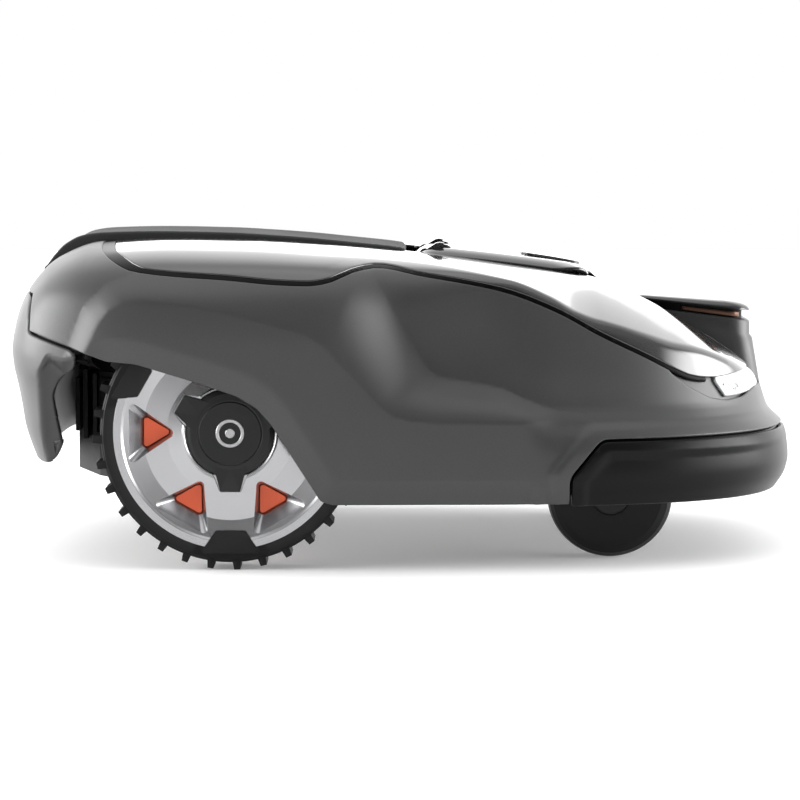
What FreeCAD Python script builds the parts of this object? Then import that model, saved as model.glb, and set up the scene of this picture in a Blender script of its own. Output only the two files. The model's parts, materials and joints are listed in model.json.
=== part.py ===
import FreeCAD, Part
import math
import os

# Robotic lawn mower for gardens, about 620 x 510 x 250 mm.
# Row frame: +X is the front, +Y the left side, +Z up. The origin is on the ground below the middle.
# Units are millimetres. Every sub-part is written to parts/NAME.step.
# Right-hand pieces (at -Y) are modelled, and left-hand ones are their mirror images.

V = FreeCAD.Vector

# ---------------------------------------------------------------- driving dimensions
FRONT_LENGTH = 312.0      # from the origin to the front of the plan outline
REAR_LENGTH = 307.0
HALF_WIDTH = 255.0
SPINE_TOP = 250.0
SKIRT_Z = 50.0            # lower edge of the skirt
FRONT_POWER = 2.9         # plan outline is a superellipse, squarer at the back
REAR_POWER = 4.8
SKIN = 3.2                # wall of the body shell
COVER_SKIN = 2.0          # wall of the top cover
UNDER_GAP = 2.3           # the shell under the cover lies this far below its face
UNDER_SKIN = 5.2
BUMPER_SKIN = 4.0
PANEL_GAP = 1.5           # shut line between neighbouring panels

WHEEL_X = -128.0          # drive axle
WHEEL_R = 103.5           # to the tips of the lugs
TREAD_R = 98.0
RIM_R = 88.0
WHEEL_FACE_Y = 238.0      # outer face of the drive wheels
WHEEL_W = 40.0
LUGS = 32                 # tread lugs in each of the two rows
LUG_PHASE = 2.8           # degrees past straight down
POCKETS = 6
BITES = (30, 150, 270)    # degrees at which the tyre reaches in over the rim
WINDOW = (44.5, 65.5, 12.6)   # apex radius, base radius and half-width of the accent windows
HUB_BORE_R = 6.0

SWIVEL_X = 185.0          # caster swivel axis
CASTER_Y = 145.0
TRAIL = 22.0
CASTER_R = 48.5
CASTER_W = 38.0
STEM_R = 8.0

CUT_X = 38.0              # cutting spindle
CUT_Z = 60.0              # blades at the highest cutting height
DISC_R = 88.0
BLADE_PIVOT_R = 76.0
BLADE_REACH = 29.0
LIFT_TRAVEL = 40.0

# right half of the tub's plan, from the back to the front
TUB_PLAN = [(-254, 90), (-232, 160), (-222, 176), (-40, 176), (58, 152), (112, 106), (140, 66),
            (226, 66), (240, 52)]
TUB_Z = 64.0
TUB_TOP = 140.0
TUB_WALL = 3.0
RECESS_R = 114.0          # recess over the blade disc
GUIDE_R = 44.0            # guide tube of the cutting carriage
SCREW_PLACES = [(-238, 100), (-238, -100), (-150, 140), (-150, -140), (-70, 150), (-70, -150),
                (178, 52), (178, -52), (226, 40), (226, -40)]
BATTERY_Z = 76.0
SWITCH_X = -200.0
SWITCH_Z = 65.5
SWITCH_TILT = 8.0         # degrees to its off side
DECK_Z = 141.5
DECK_T = 3.5
PANEL_Z = 201.0           # underside of the console panel
PANEL_T = 3.0
PANEL_BACK, PANEL_FRONT, PANEL_HALF = 14.0, 158.0, 59.0
DISPLAY = (68.0, 100.0, 32.0)       # back, front and half-width of the display window
KEY_PLACES = {"start": (116, -22), "park": (116, 0), "back": (116, 22),
              "down": (137, -22), "ok": (137, 0), "up": (137, 22)}
KEY_LENGTH = 14.0
KEY_WIDTH = 16.0
KEY_CLEARANCE = 0.4

LID_X0 = 12.0
LID_X1 = 160.0
LID_HALF = 62.0
HINGE_X = 20.0
HINGE_Z = 231.0
HINGE_PIN_R = 2.5
HINGE_EAR = (40.0, 6.0)   # inner face and thickness of the chassis's hinge ears
BUTTON_X0, BUTTON_X1, BUTTON_HALF = 98.0, 145.0, 26.0
OPENING_GAP = 7.0         # room for the floating shell to shift along X
RUNNING = 0.05            # radial clearance of a turning fit

SPINE_HALF = 66.0
NOSE_HALF = 44.0
TOWER_TOP = 175.7         # chassis towers that carry the floating shell
BOSS_Z = 188.0            # lower end of the shell's bosses
PIN_PLACES = [(-190, 108), (-190, -108), (118, 112), (118, -112)]


# ---------------------------------------------------------------- small helpers
def smooth(a, b, x):
    """0 before a, 1 after b, and an S-curve between."""
    t = min(1.0, max(0.0, (x - a) / (b - a)))
    return t * t * (3.0 - 2.0 * t)


def curve(points):
    """A function through (x, y) points that never overshoots them, level beyond both ends."""
    xs = [p[0] for p in points]
    ys = [p[1] for p in points]
    steps = [(ys[i + 1] - ys[i]) / (xs[i + 1] - xs[i]) for i in range(len(xs) - 1)]
    slopes = [0.0]
    for left, right in zip(steps, steps[1:]):
        slopes.append(0.0 if left * right <= 0 else 2 * left * right / (left + right))
    slopes.append(0.0)

    def value(x):
        if x <= xs[0]:
            return ys[0]
        if x >= xs[-1]:
            return ys[-1]
        i = max(k for k in range(len(xs) - 1) if xs[k] <= x)
        h = xs[i + 1] - xs[i]
        t = (x - xs[i]) / h
        a = (2 * t ** 3 - 3 * t ** 2 + 1) * ys[i] + (t ** 3 - 2 * t ** 2 + t) * h * slopes[i]
        b = (3 * t ** 2 - 2 * t ** 3) * ys[i + 1] + (t ** 3 - t ** 2) * h * slopes[i + 1]
        return a + b

    return value


def box(x0, x1, y0, y1, z0, z1):
    return Part.makeBox(x1 - x0, y1 - y0, z1 - z0, V(x0, y0, z0))


def post(x, y, z0, z1, r):
    """A round bar standing on z0."""
    return Part.makeCylinder(r, z1 - z0, V(x, y, z0), V(0, 0, 1))


def cross_bar(x, z, y0, y1, r):
    """A round bar along Y."""
    return Part.makeCylinder(r, y1 - y0, V(x, y0, z), V(0, 1, 0))


def rounded(points, radius):
    """A closed wire through the points with every corner rounded."""
    edges = []
    ends = []
    count = len(points)
    for i in range(count):
        p = points[i]
        a = (points[i - 1] - p)
        b = (points[(i + 1) % count] - p)
        a.normalize()
        b.normalize()
        half = a.getAngle(b) / 2.0
        back = radius / math.tan(half)
        middle = a + b
        middle.normalize()
        centre = p + middle * (radius / math.sin(half))
        arc_in, arc_out = p + a * back, p + b * back
        arc_mid = centre - middle * radius
        ends.append((arc_in, arc_mid, arc_out))
    for i in range(count):
        arc_in, arc_mid, arc_out = ends[i]
        edges.append(Part.Arc(arc_in, arc_mid, arc_out).toShape())
        following = ends[(i + 1) % count][0]
        if (following - arc_out).Length > 1e-6:
            edges.append(Part.LineSegment(arc_out, following).toShape())
    return Part.Wire(edges)


def rounded_slab(x0, x1, y0, y1, z0, z1, radius):
    corners = [V(x0, y0, z0), V(x1, y0, z0), V(x1, y1, z0), V(x0, y1, z0)]
    return Part.Face(rounded(corners, radius)).extrude(V(0, 0, z1 - z0))


def plan_slab(points, z0, z1, radius):
    """A plan polygon, mirrored about the X axis, with rounded corners and straight walls."""
    corners = [V(x, y, z0) for x, y in points]
    corners += [V(x, -y, z0) for x, y in reversed(points)]
    return Part.Face(rounded(corners, radius)).extrude(V(0, 0, z1 - z0))


def side_slab(points, y0, y1):
    """An outline drawn in the XZ plane, with straight walls from y0 to y1."""
    corners = [V(x, y0, z) for x, z in points]
    wire = Part.makePolygon(corners + corners[:1])
    return Part.Face(wire).extrude(V(0, y1 - y0, 0))


def above(points, lift, y0, y1):
    """Everything above a smooth line drawn in the XZ plane, between y0 and y1."""
    line = Part.BSplineCurve()
    line.interpolate([V(x, y0, z + lift) for x, z in points])
    start, end = line.StartPoint, line.EndPoint
    roof = 330.0
    up, down = V(end.x, y0, roof), V(start.x, y0, roof)
    edges = [line.toShape(), Part.LineSegment(end, up).toShape()]
    edges += [Part.LineSegment(up, down).toShape(), Part.LineSegment(down, start).toShape()]
    return Part.Face(Part.Wire(edges)).extrude(V(0, y1 - y0, 0))


def turned(profile, centre, axis):
    """A closed profile of points turned all the way round an axis."""
    face = Part.Face(Part.makePolygon(profile + profile[:1]))
    return face.revolve(centre, axis, 360)


def mirror(shape):
    return shape.mirror(V(0, 0, 0), V(0, 1, 0))


def fuse(shapes):
    first = shapes[0]
    return first.multiFuse(shapes[1:]).removeSplitter()


def solid_of(shape):
    """The shape without thin leftovers: every solid of a useful size."""
    solids = [s for s in shape.Solids if s.Volume > 5.0]
    return solids[0] if len(solids) == 1 else Part.makeCompound(solids)


# ---------------------------------------------------------------- outside form of the body
# (height, inset) of the outside form from the plan outline
FRONT_INSET = curve([(50, 5), (75, 0), (97, 6), (108, 16), (125, 21), (150, 26), (183, 35),
                     (210, 55), (235, 85), (262, 120)])
REAR_INSET = curve([(50, 34), (75, 22), (110, 9), (142, 0), (178, 8), (205, 17), (222, 31),
                    (238, 47), (262, 85)])
WHEEL_INSET = curve([(50, 3), (75, 1), (100, 0), (170, 0), (205, 4), (222, 14), (235, 32),
                     (262, 90)])
WAIST_INSET = curve([(50, 5), (75, 2), (112, 2), (122, 8), (138, 20), (170, 26), (205, 29),
                     (222, 34), (235, 50), (262, 100)])
FENDER_INSET = curve([(50, 5), (75, 2), (97, 3), (108, 8), (125, 12), (150, 14), (175, 20),
                      (205, 32), (222, 42), (235, 58), (262, 110)])
RIDGE = curve([(-330, 180), (-300, 218), (-275, 232), (-240, 240), (-180, 243), (-120, 243),
               (-60, 240.5), (0, 235), (50, 229), (100, 221.5), (150, 211), (197, 195), (236, 173),
               (262, 157), (285, 139), (330, 100)])
SPINE = curve([(-300, 222), (-275, 236), (-264, 240.5), (-244, 246), (-203, 249.2), (-150, SPINE_TOP),
               (-110, SPINE_TOP), (-81, 248.5), (-41, 245), (6, 239)])
LEVELS = [SKIRT_Z, 75, 97, 108, 122, 138, 155, 175, 195, 210, 222, 235, 248, 262]
COLUMNS = 24               # per half of the outline


def outline(angle):
    """A point of the plan outline and its outward normal, by polar angle."""
    c, s = math.cos(angle), math.sin(angle)
    power = FRONT_POWER if c > 0 else REAR_POWER
    length = FRONT_LENGTH if c > 0 else REAR_LENGTH
    r = (abs(c / length) ** power + abs(s / HALF_WIDTH) ** power) ** (-1.0 / power)
    x, y = r * c, r * s
    nx = math.copysign(abs(x / length) ** (power - 1) / length, x)
    ny = math.copysign(abs(y / HALF_WIDTH) ** (power - 1) / HALF_WIDTH, y)
    size = math.hypot(nx, ny)
    return x, y, nx / size, ny / size


def side_inset(x, z):
    """Wheel-arch flare at the back, a scooped waist, and a front fender."""
    wheel = 1.0 - smooth(-62, 14, x)
    fender = smooth(50, 120, x)
    waist = max(0.0, 1.0 - wheel - fender)
    return wheel * WHEEL_INSET(z) + waist * WAIST_INSET(z) + fender * FENDER_INSET(z)


def inset(x, z, nx):
    end = FRONT_INSET(z) if nx > 0 else REAR_INSET(z)
    return end * nx * nx + side_inset(x, z) * (1 - nx * nx)


def top_height(x, y):
    """Height of the top surface: two ridges that run down to the headlights, with a valley between."""
    a = abs(y)
    valley = 15.0 * smooth(165, 215, x) * (1.0 - smooth(45, 92, a))
    drop = 6.0 + 9.0 * smooth(60, 200, x)
    return RIDGE(x) - valley - drop * (max(0.0, a - 95.0) / 110.0) ** 2


def spline(points, params):
    line = Part.BSplineCurve()
    line.interpolate(Points=points, PeriodicFlag=False, Parameters=params)
    return line


def skin(rows, us, vs):
    """A smooth face through a grid of points; rows[i][j] belongs to us[i], vs[j]."""
    along_u = [spline([row[j] for row in rows], us) for j in range(len(vs))]
    pole_rows = []
    for i in range(along_u[0].NbPoles):
        along_v = spline([c.getPole(i + 1) for c in along_u], vs)
        pole_rows.append(along_v.getPoles())
    first = along_u[0]
    face = Part.BSplineSurface()
    face.buildFromPolesMultsKnots(pole_rows, first.getMultiplicities(), along_v.getMultiplicities(),
                                  first.getKnots(), along_v.getKnots(), False, False,
                                  first.Degree, along_v.Degree)
    return face.toShape()


def form(shrink, low=SKIRT_Z):
    """The right half of the body's outside form as a solid, shrunk by shrink all round."""
    levels = [float(z) for z in ([low] if low < SKIRT_Z else []) + LEVELS]
    rows = []
    for i in range(-1, COLUMNS + 2):
        x, y, nx, ny = outline(math.pi + math.pi * i / COLUMNS)
        ring = []
        for z in levels:
            d = inset(x, z, nx) + shrink
            ring.append(V(x - nx * d, y - ny * d, z))
        rows.append(ring)
    side = skin(rows, [float(i) for i in range(len(rows))], levels)
    ends = sorted([e for e in side.Edges if e.BoundBox.ZLength > 100], key=lambda e: e.BoundBox.XMin)
    closing = Part.makeRuledSurface(ends[0], ends[1])
    faces = [side, closing]
    for z in (levels[0], levels[-1]):
        flat = [e for f in (side, closing) for e in f.Edges
                if abs(e.BoundBox.ZMin - z) < 0.5 and e.BoundBox.ZLength < 0.5]
        faces.append(Part.Face(Part.Wire(Part.__sortEdges__(flat))))
    shell = Part.makeShell(faces)
    shell.sewShape()
    solid = Part.makeSolid(shell)
    grid_x = [-340.0 + 34 * i for i in range(21)]
    grid_y = [-280.0 + 40 * i for i in range(9)]
    roof = skin([[V(x, y, top_height(x, y) - shrink) for y in grid_y] for x in grid_x], grid_x, grid_y)
    return solid.common(roof.extrude(V(0, 0, -320)).common(box(-340, 340, -280, 0, -100, 300)))


def whole(half):
    """Both halves of a body piece made as its right half."""
    return solid_of(half.fuse(mirror(half)))


# lower edge of the top cover, in the XZ plane
SEAM = [(-236, 249), (-227, 241), (-212, 232), (-197, 226), (-175, 223.5), (-130, 220.5),
        (-90, 217), (-68, 216.3), (-52, 219), (-36, 225.5), (-18, 228.5), (15, 222.5),
        (53, 216.4), (83, 210), (121, 196), (151, 180), (191, 160), (222, 144.5), (240, 141.5),
        (262, 142.5), (285, 146), (330, 152)]
# lower edge of the body shell over the drive wheel
ARCH = [(-221, 157.5), (-198, 155.5), (-149, 141), (-123, 132), (-108, 123), (-97, 111),
        (-82, 87.5), (-60, 53), (-54, 30)]
REAR_SEAM = [(-340, 206), (-283, 206), (-283, 178.5), (-250, 167.5), (-221, 157.5)]
FRONT_SEAM = [(126.5, 30), (126.5, 71), (151.5, 99.5), (340, 99.5), (340, 30)]
FAR = 300.0


def cover_zone(lift):
    return above(SEAM, lift, -FAR, 0)


def arch_zone():
    """What the wheel arch and the rear bumper take away from the shell."""
    line = Part.BSplineCurve()
    line.interpolate([V(x, -FAR, z) for x, z in ARCH[:6]])
    corners = [V(x, -FAR, z) for x, z in ARCH[5:] + [(-340, 30)] + REAR_SEAM]
    edges = [line.toShape()]
    edges += [Part.LineSegment(p, q).toShape() for p, q in zip(corners, corners[1:])]
    return Part.Face(Part.Wire(edges)).extrude(V(0, FAR, 0))


FORM_OUT = form(0.0)
FORM_SKIN = form(SKIN, 30)
FORM_COVER = form(COVER_SKIN, 30)
FORM_UNDER = form(UNDER_GAP, 30)
FORM_UNDER_IN = form(UNDER_SKIN, 30)
FORM_BUMPER = form(BUMPER_SKIN, 30)
HATCH_HOLE = rounded_slab(LID_X0 - OPENING_GAP, LID_X1 + OPENING_GAP, -LID_HALF - 3, LID_HALF + 3, 150, 300, 12)


def spine_form():
    """The raised strip down the middle of the back."""
    xs = [-290 + 18 * i for i in range(17)]
    front = LID_X0 - OPENING_GAP
    top = [V(x, -SPINE_HALF, SPINE(x)) for x in xs if x < front - 4] + [V(front, -SPINE_HALF, 238)]
    line = Part.BSplineCurve()
    line.interpolate(top)
    low_front, low_back = V(front, -SPINE_HALF, 205), V(-290, -SPINE_HALF, 205)
    edges = [line.toShape(), Part.LineSegment(top[-1], low_front).toShape(),
             Part.LineSegment(low_front, low_back).toShape(), Part.LineSegment(low_back, top[0]).toShape()]
    return Part.Face(Part.Wire(edges)).extrude(V(0, SPINE_HALF, 0))


def body_shell():
    """Skirt, the skin that carries the cover, and the spine, as one moulding."""
    skirt = FORM_OUT.cut(FORM_SKIN).cut(cover_zone(0.0)).cut(arch_zone())
    skirt = skirt.cut(side_slab(FRONT_SEAM, -FAR, 0)).cut(headlight_zone())
    under = FORM_UNDER.cut(FORM_UNDER_IN).common(cover_zone(-7.0)).cut(headlight_zone())
    spine = spine_form().cut(FORM_UNDER_IN)
    half = fuse([skirt, under, spine]).cut(HATCH_HOLE)
    for x, y in PIN_PLACES:
        if y < 0:
            boss = post(x, y, BOSS_Z, 300, 12).common(FORM_UNDER)
            half = half.fuse(boss).cut(post(x, y, 180, 205, 6.4))
    return whole(half)


def headlight_zone():
    """The slot under each end of the cover, outboard of the nose."""
    return side_slab([(229, 143.5), (330, 150), (330, 137), (270, 134.5), (246, 132.5)], -FAR, -92)


def top_cover():
    half = FORM_OUT.cut(FORM_COVER).common(cover_zone(PANEL_GAP))
    half = half.cut(box(-300, LID_X0, -SPINE_HALF - 1, 0, 150, 300)).cut(HATCH_HOLE)
    return whole(half.cut(box(189, 330, -NOSE_HALF - 1.5, 0, 100, 300)))


def cover_trim():
    """A thin seal in the shut line under the cover's edge, one length for each side."""
    band = FORM_OUT.cut(FORM_UNDER).common(cover_zone(0.3)).cut(cover_zone(PANEL_GAP - 0.2))
    band = band.cut(box(-300, LID_X0, -SPINE_HALF - 1, 0, 150, 300))
    band = solid_of(band.cut(box(225, 330, -FAR, 0, 100, 300)))
    return Part.makeCompound([band, mirror(band)])


def front_bumper():
    zone = side_slab([(128, 30), (128, 70.3), (152.2, 98), (340, 98), (340, 30)], -FAR, 0)
    return whole(FORM_OUT.cut(FORM_BUMPER).common(zone))


def rear_bumper():
    zone = side_slab([(-340, 74), (-265, 74), (-257.5, 84), (-262, 109), (-264, 136),
                      (-260, 144), (-250, 149), (-245, 158), (-248.5, 165.3), (-284.5, 176.8),
                      (-284.5, 204.5), (-340, 204.5)], -FAR, 0)
    return whole(FORM_OUT.cut(FORM_BUMPER).common(zone))


def contact_nose():
    """The charging nose: a block that rises between the two ridges, with an overhanging cap."""
    block = side_slab([(190, 120), (190, 196), (205, 195.2), (262, 192.5), (278, 185), (284, 160),
                       (289, 127), (270, 118)], -NOSE_HALF, 0)
    groove = box(214, 268, -NOSE_HALF - 8, -NOSE_HALF + 4, 181.5, 187.5)
    hollow = box(196, 274, -NOSE_HALF + 7, 0, 100, 177)
    skirt = FORM_OUT.cut(cover_zone(0.0))
    return whole(block.cut(groove).cut(hollow).cut(FORM_UNDER).cut(skirt))


def charging_contacts():
    """One copper strip in each side groove of the nose."""
    strip = box(215, 267, -NOSE_HALF + 1.2, -NOSE_HALF + 4, 182, 187)
    return Part.makeCompound([strip, mirror(strip)])


def headlight_lens():
    zone = side_slab([(234, 141.4), (330, 147.5), (330, 138.2), (270, 135.7), (246.5, 133.7)],
                     -FAR, -93.5)
    return solid_of(form(0.8, 30).cut(form(3.0, 30)).common(zone))


def headlight_boards():
    zone = side_slab([(236, 141.5), (310, 146), (310, 138.5), (270, 136.5), (248, 135)], -FAR, -96)
    board = solid_of(form(6.0, 30).cut(form(8.0, 30)).common(zone))
    return Part.makeCompound([board, mirror(board)])


# ---------------------------------------------------------------- suspension of the shell
def suspension_pins():
    """Rubber feet that slide on the chassis towers, each with a pin into a boss of the shell."""
    pins = []
    for x, y in PIN_PLACES:
        foot = post(x, y, TOWER_TOP + 0.3, BOSS_Z - 0.2, 14)
        pins.append(foot.fuse(post(x, y, BOSS_Z - 0.2, 203, 6.0)).removeSplitter())
    return Part.makeCompound(pins)


# ---------------------------------------------------------------- chassis
def shrink_plan(points, d):
    return [(x + (d if x < -100 else -d), y - d) for x, y in points]


def chassis_lower():
    tub = plan_slab(TUB_PLAN, TUB_Z, TUB_TOP, 8)
    cavity = plan_slab(shrink_plan(TUB_PLAN, TUB_WALL), TUB_Z + TUB_WALL, TUB_TOP + 1, 6)
    cavity = cavity.cut(post(CUT_X, 0, 0, TUB_Z + 25, RECESS_R + TUB_WALL))
    tub = tub.cut(cavity).cut(post(CUT_X, 0, 0, TUB_Z + 22, RECESS_R))
    guide = post(CUT_X, 0, TUB_Z + 22, 120, GUIDE_R + 3)
    tub = tub.fuse(guide).cut(post(CUT_X, 0, 0, 200, GUIDE_R))
    for side in (-1, 1):
        hole = cross_bar(WHEEL_X, WHEEL_R, min(side * 165, side * 190), max(side * 165, side * 190), 20.5)
        tub = tub.cut(hole)
    top = TUB_Z + TUB_WALL
    ribs = [box(-226, -150, y - 1.5, y + 1.5, TUB_Z - 4, TUB_Z + 1) for y in (-120, -80, 80, 120)]
    ribs += [box(-224, -92, y - 1.5, y + 1.5, top - 1, BATTERY_Z) for y in (-34, 34)]
    ribs.append(box(SWITCH_X - 17, SWITCH_X + 17, -11, 11, top - 1, BATTERY_Z - 1))
    tub = fuse([tub] + ribs)
    tub = tub.cut(box(SWITCH_X - 14, SWITCH_X + 14, -8.4, 8.4, TUB_Z - 5, BATTERY_Z - 3))
    tub = tub.cut(cross_bar(SWITCH_X, SWITCH_Z, -9.8, 9.8, 1.0 + RUNNING))
    for x, y in SCREW_PLACES:
        tub = tub.cut(post(x, y, TUB_Z - 1, TUB_Z + 2, 4.2))
    return solid_of(tub)


def chassis_screws():
    """Torx pan-head screws in the floor of the tub."""
    heads = []
    for x, y in SCREW_PLACES:
        head = post(x, y, TUB_Z - 0.6, TUB_Z + 1.9, 3.8)
        heads.append(head.cut(post(x, y, TUB_Z - 1, TUB_Z + 0.8, 1.6)))
    return Part.makeCompound(heads)


def chassis_seal():
    ring = plan_slab(TUB_PLAN, TUB_TOP, DECK_Z, 8)
    return solid_of(ring.cut(plan_slab(shrink_plan(TUB_PLAN, TUB_WALL), TUB_TOP - 1, DECK_Z + 1, 6)))


def chassis_upper():
    deck = plan_slab(TUB_PLAN, DECK_Z, DECK_Z + DECK_T, 8)
    deck = deck.cut(post(CUT_X, 0, 100, 200, 20))
    top = DECK_Z + DECK_T
    x0, x1, half, wall = PANEL_BACK, PANEL_FRONT, PANEL_HALF, 2.5
    tower = rounded_slab(x0, x1, -half, half, top - 1, PANEL_Z, 8)
    half -= wall
    tower = tower.cut(rounded_slab(x0 + wall, x1 - wall, -half, half, top - 2, PANEL_Z + 1, 6))
    parts = [deck, tower]
    for x, y in PIN_PLACES:
        parts.append(post(x, y, top - 1, TOWER_TOP, 13.5))
        parts.append(box(x - 1.5, x + 1.5, y - 24, y + 24, top - 1, 160))
    for y in hinge_ears():
        parts.append(box(HINGE_X - 4.4, HINGE_X + 4.4, y, y + HINGE_EAR[1], PANEL_Z - 8, HINGE_Z))
        parts.append(cross_bar(HINGE_X, HINGE_Z, y, y + HINGE_EAR[1], 4.4))
    parts.append(rounded_slab(-205, -60, -70, 70, top - 1, top + 14, 14))
    upper = fuse(parts).cut(rounded_slab(-202, -63, -67, 67, DECK_Z - 1, top + 11, 11))
    return solid_of(upper.cut(cross_bar(HINGE_X, HINGE_Z, -60, 60, HINGE_PIN_R)))


def hinge_ears():
    """Right-hand face of each hinge ear."""
    inner, thick = HINGE_EAR
    return (-inner - thick, inner)


def console_panel():
    top = PANEL_Z + PANEL_T
    panel = rounded_slab(PANEL_BACK, PANEL_FRONT, -PANEL_HALF, PANEL_HALF, PANEL_Z, top, 8)
    panel = panel.cut(post(CUT_X, 0, 190, 220, 5.6))
    x0, x1, half = DISPLAY
    panel = panel.cut(rounded_slab(x0, x1, -half, half, 190, 220, 3))
    dx, dy = KEY_LENGTH / 2 + KEY_CLEARANCE, KEY_WIDTH / 2 + KEY_CLEARANCE
    for x, y in KEY_PLACES.values():
        panel = panel.cut(rounded_slab(x - dx, x + dx, y - dy, y + dy, 190, 220, 3))
    for y in hinge_ears():
        panel = panel.cut(box(HINGE_X - 4.5, HINGE_X + 4.5, y - 0.1, y + HINGE_EAR[1] + 0.1, 190, 220))
    legs = [post(x, y, PANEL_Z - 6.4, PANEL_Z + 1, 3) for x in (66, 148) for y in (-45, 45)]
    return solid_of(fuse([panel] + legs))


def display_window():
    x0, x1, half = DISPLAY
    return rounded_slab(x0, x1, -half, half, PANEL_Z, PANEL_Z + PANEL_T + 1, 3)


def key(name):
    x, y = KEY_PLACES[name]
    cap = rounded_slab(x - KEY_LENGTH / 2, x + KEY_LENGTH / 2, y - KEY_WIDTH / 2, y + KEY_WIDTH / 2,
                       PANEL_Z - 2.5, PANEL_Z + PANEL_T + 3, 2.6)
    rim = [e for e in cap.Edges if e.BoundBox.ZMin > PANEL_Z + PANEL_T + 2.9]
    cap = cap.makeFillet(0.9, rim)
    flange = rounded_slab(x - 8.6, x + 8.6, y - 9.6, y + 9.6, PANEL_Z - 2.5, PANEL_Z - 0.5, 3)
    return cap.fuse(flange).removeSplitter()


def power_switch():
    """A rocker in the floor of the tub, on two trunnions, tipped to its off side."""
    x, z = SWITCH_X, SWITCH_Z
    rocker = side_slab([(x - 12.5, z + 1.2), (x - 12.5, z - 2.6), (x, z - 1.4), (x + 12.5, z - 2.6),
                        (x + 12.5, z + 1.2), (x, z + 2.4)], -7.8, 7.8)
    rocker = rocker.fuse(cross_bar(x, z, -9.4, 9.4, 1.0)).removeSplitter()
    rocker.rotate(V(x, 0, z), V(0, 1, 0), -SWITCH_TILT)
    return rocker


def battery_pack():
    top = BATTERY_Z + 44.0
    pack = rounded_slab(-226, -90, -42, 42, BATTERY_Z, top, 6)
    return pack.makeFillet(3.0, [e for e in pack.Edges if e.BoundBox.ZMin > top - 0.1])


def main_board():
    """Main board over the battery, and the console's own board under its keys."""
    main = box(-226, -70, -60, 60, 124, 125.6)
    parts = [main]
    for x, y, w, d, h in [(-200, -30, 18, 18, 3), (-150, 10, 24, 24, 2.5), (-110, -35, 14, 20, 9),
                          (-190, 35, 30, 12, 8), (-120, 38, 12, 12, 10)]:
        parts.append(box(x, x + w, y, y + d, 125.6, 125.6 + h))
    console = box(62, 152, -50, 50, PANEL_Z - 8, PANEL_Z - 6.4)
    return Part.makeCompound([fuse(parts), console])


def loop_coils():
    """Boundary-wire sensing coils, one at each end."""
    front = post(206, 0, 72, 96, 20).cut(post(206, 0, 71, 97, 9))
    rear = post(-238, 0, 104, 124, 8).cut(post(-238, 0, 103, 125, 3))
    return Part.makeCompound([front, rear])


def caster_bracket():
    """Arm from the tub's side to the swivel boss of the right caster."""
    y = -CASTER_Y
    boss = post(SWIVEL_X, y, 110, 140, 17)
    arm = side_slab([(162, 116), (162, 134), (208, 134), (208, 116)], y + 8, -66.2)
    web = side_slab([(181, 110), (181, 118), (189, 118), (189, 110)], y + 12, -66.2)
    pad = side_slab([(158, 104), (158, 139), (214, 139), (214, 104)], -71, -66.2)
    bracket = fuse([boss, arm, web, pad])
    bracket = bracket.cut(box(168, 202, y + 30, -78, 120, 140))
    return solid_of(bracket.cut(post(SWIVEL_X, y, 100, 150, STEM_R + RUNNING)))


# ---------------------------------------------------------------- hatch and console controls
LID_TOP = curve([(12, 237.5), (20, 239.8), (33, 240), (57, 236.3), (98, 230.5), (130, 225.5),
                 (150, 221), (157, 217.5), (160, 214)])


def lid_slab(drop, x0, x1, half, low0, low1, radius):
    """A slab whose top follows the lid's crown, drop below it."""
    xs = [x0 + (x1 - x0) * i / 12 for i in range(13)]
    line = Part.BSplineCurve()
    line.interpolate([V(x, -half, LID_TOP(x) - drop) for x in xs])
    start, end = line.StartPoint, line.EndPoint
    low_end, low_start = V(x1, -half, low1), V(x0, -half, low0)
    edges = [line.toShape(), Part.LineSegment(end, low_end).toShape(),
             Part.LineSegment(low_end, low_start).toShape(),
             Part.LineSegment(low_start, start).toShape()]
    slab = Part.Face(Part.Wire(edges)).extrude(V(0, 2 * half, 0))
    return slab.common(rounded_slab(x0, x1, -half, half, 150, 300, radius))


def hatch_lid():
    lid = lid_slab(0.0, LID_X0, LID_X1, LID_HALF, 226, 207, 12)
    rim = [e for e in lid.Edges if e.BoundBox.ZMin > 212 and e.BoundBox.DiagonalLength > 20]
    lid = lid.makeFillet(2.2, rim)
    lid = lid.cut(lid_slab(2.6, LID_X0 + 2.5, LID_X1 - 2.5, LID_HALF - 2.5, 200, 190, 10))
    lid = lid.cut(rounded_slab(BUTTON_X0 - 0.6, BUTTON_X1 + 0.6, -BUTTON_HALF - 0.6,
                               BUTTON_HALF + 0.6, 200, 300, 9.6))
    for side in (-1, 1):
        y0 = min(side * 28, side * 38)
        knuckle = box(15, 25, y0, y0 + 10, HINGE_Z - 5, HINGE_Z + 7)
        lid = lid.fuse(knuckle)
        y1 = min(side * 38.6, side * 48)
        lid = lid.cut(box(LID_X0 - 1, LID_X0 + 3, y1, y1 + 9.4, 200, HINGE_Z + 5.2))
    latch = box(152, 155, -8, 8, 204, 220)
    lid = fuse([lid, latch])
    return solid_of(lid.cut(cross_bar(HINGE_X, HINGE_Z, -60, 60, HINGE_PIN_R + RUNNING)))


def hatch_hinge_pin():
    return cross_bar(HINGE_X, HINGE_Z, -47, 47, HINGE_PIN_R)


def stop_button():
    cap = lid_slab(-1.4, BUTTON_X0, BUTTON_X1, BUTTON_HALF, 221, 214, 9)
    flange = lid_slab(3.4, BUTTON_X0 - 3, BUTTON_X1 + 3, BUTTON_HALF + 3, 222, 214.5, 11)
    button = fuse([cap, flange])
    hollow = lid_slab(4.4, BUTTON_X0 + 3, BUTTON_X1 - 3, BUTTON_HALF - 3, 190, 190, 7)
    return solid_of(button.cut(hollow))


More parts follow.
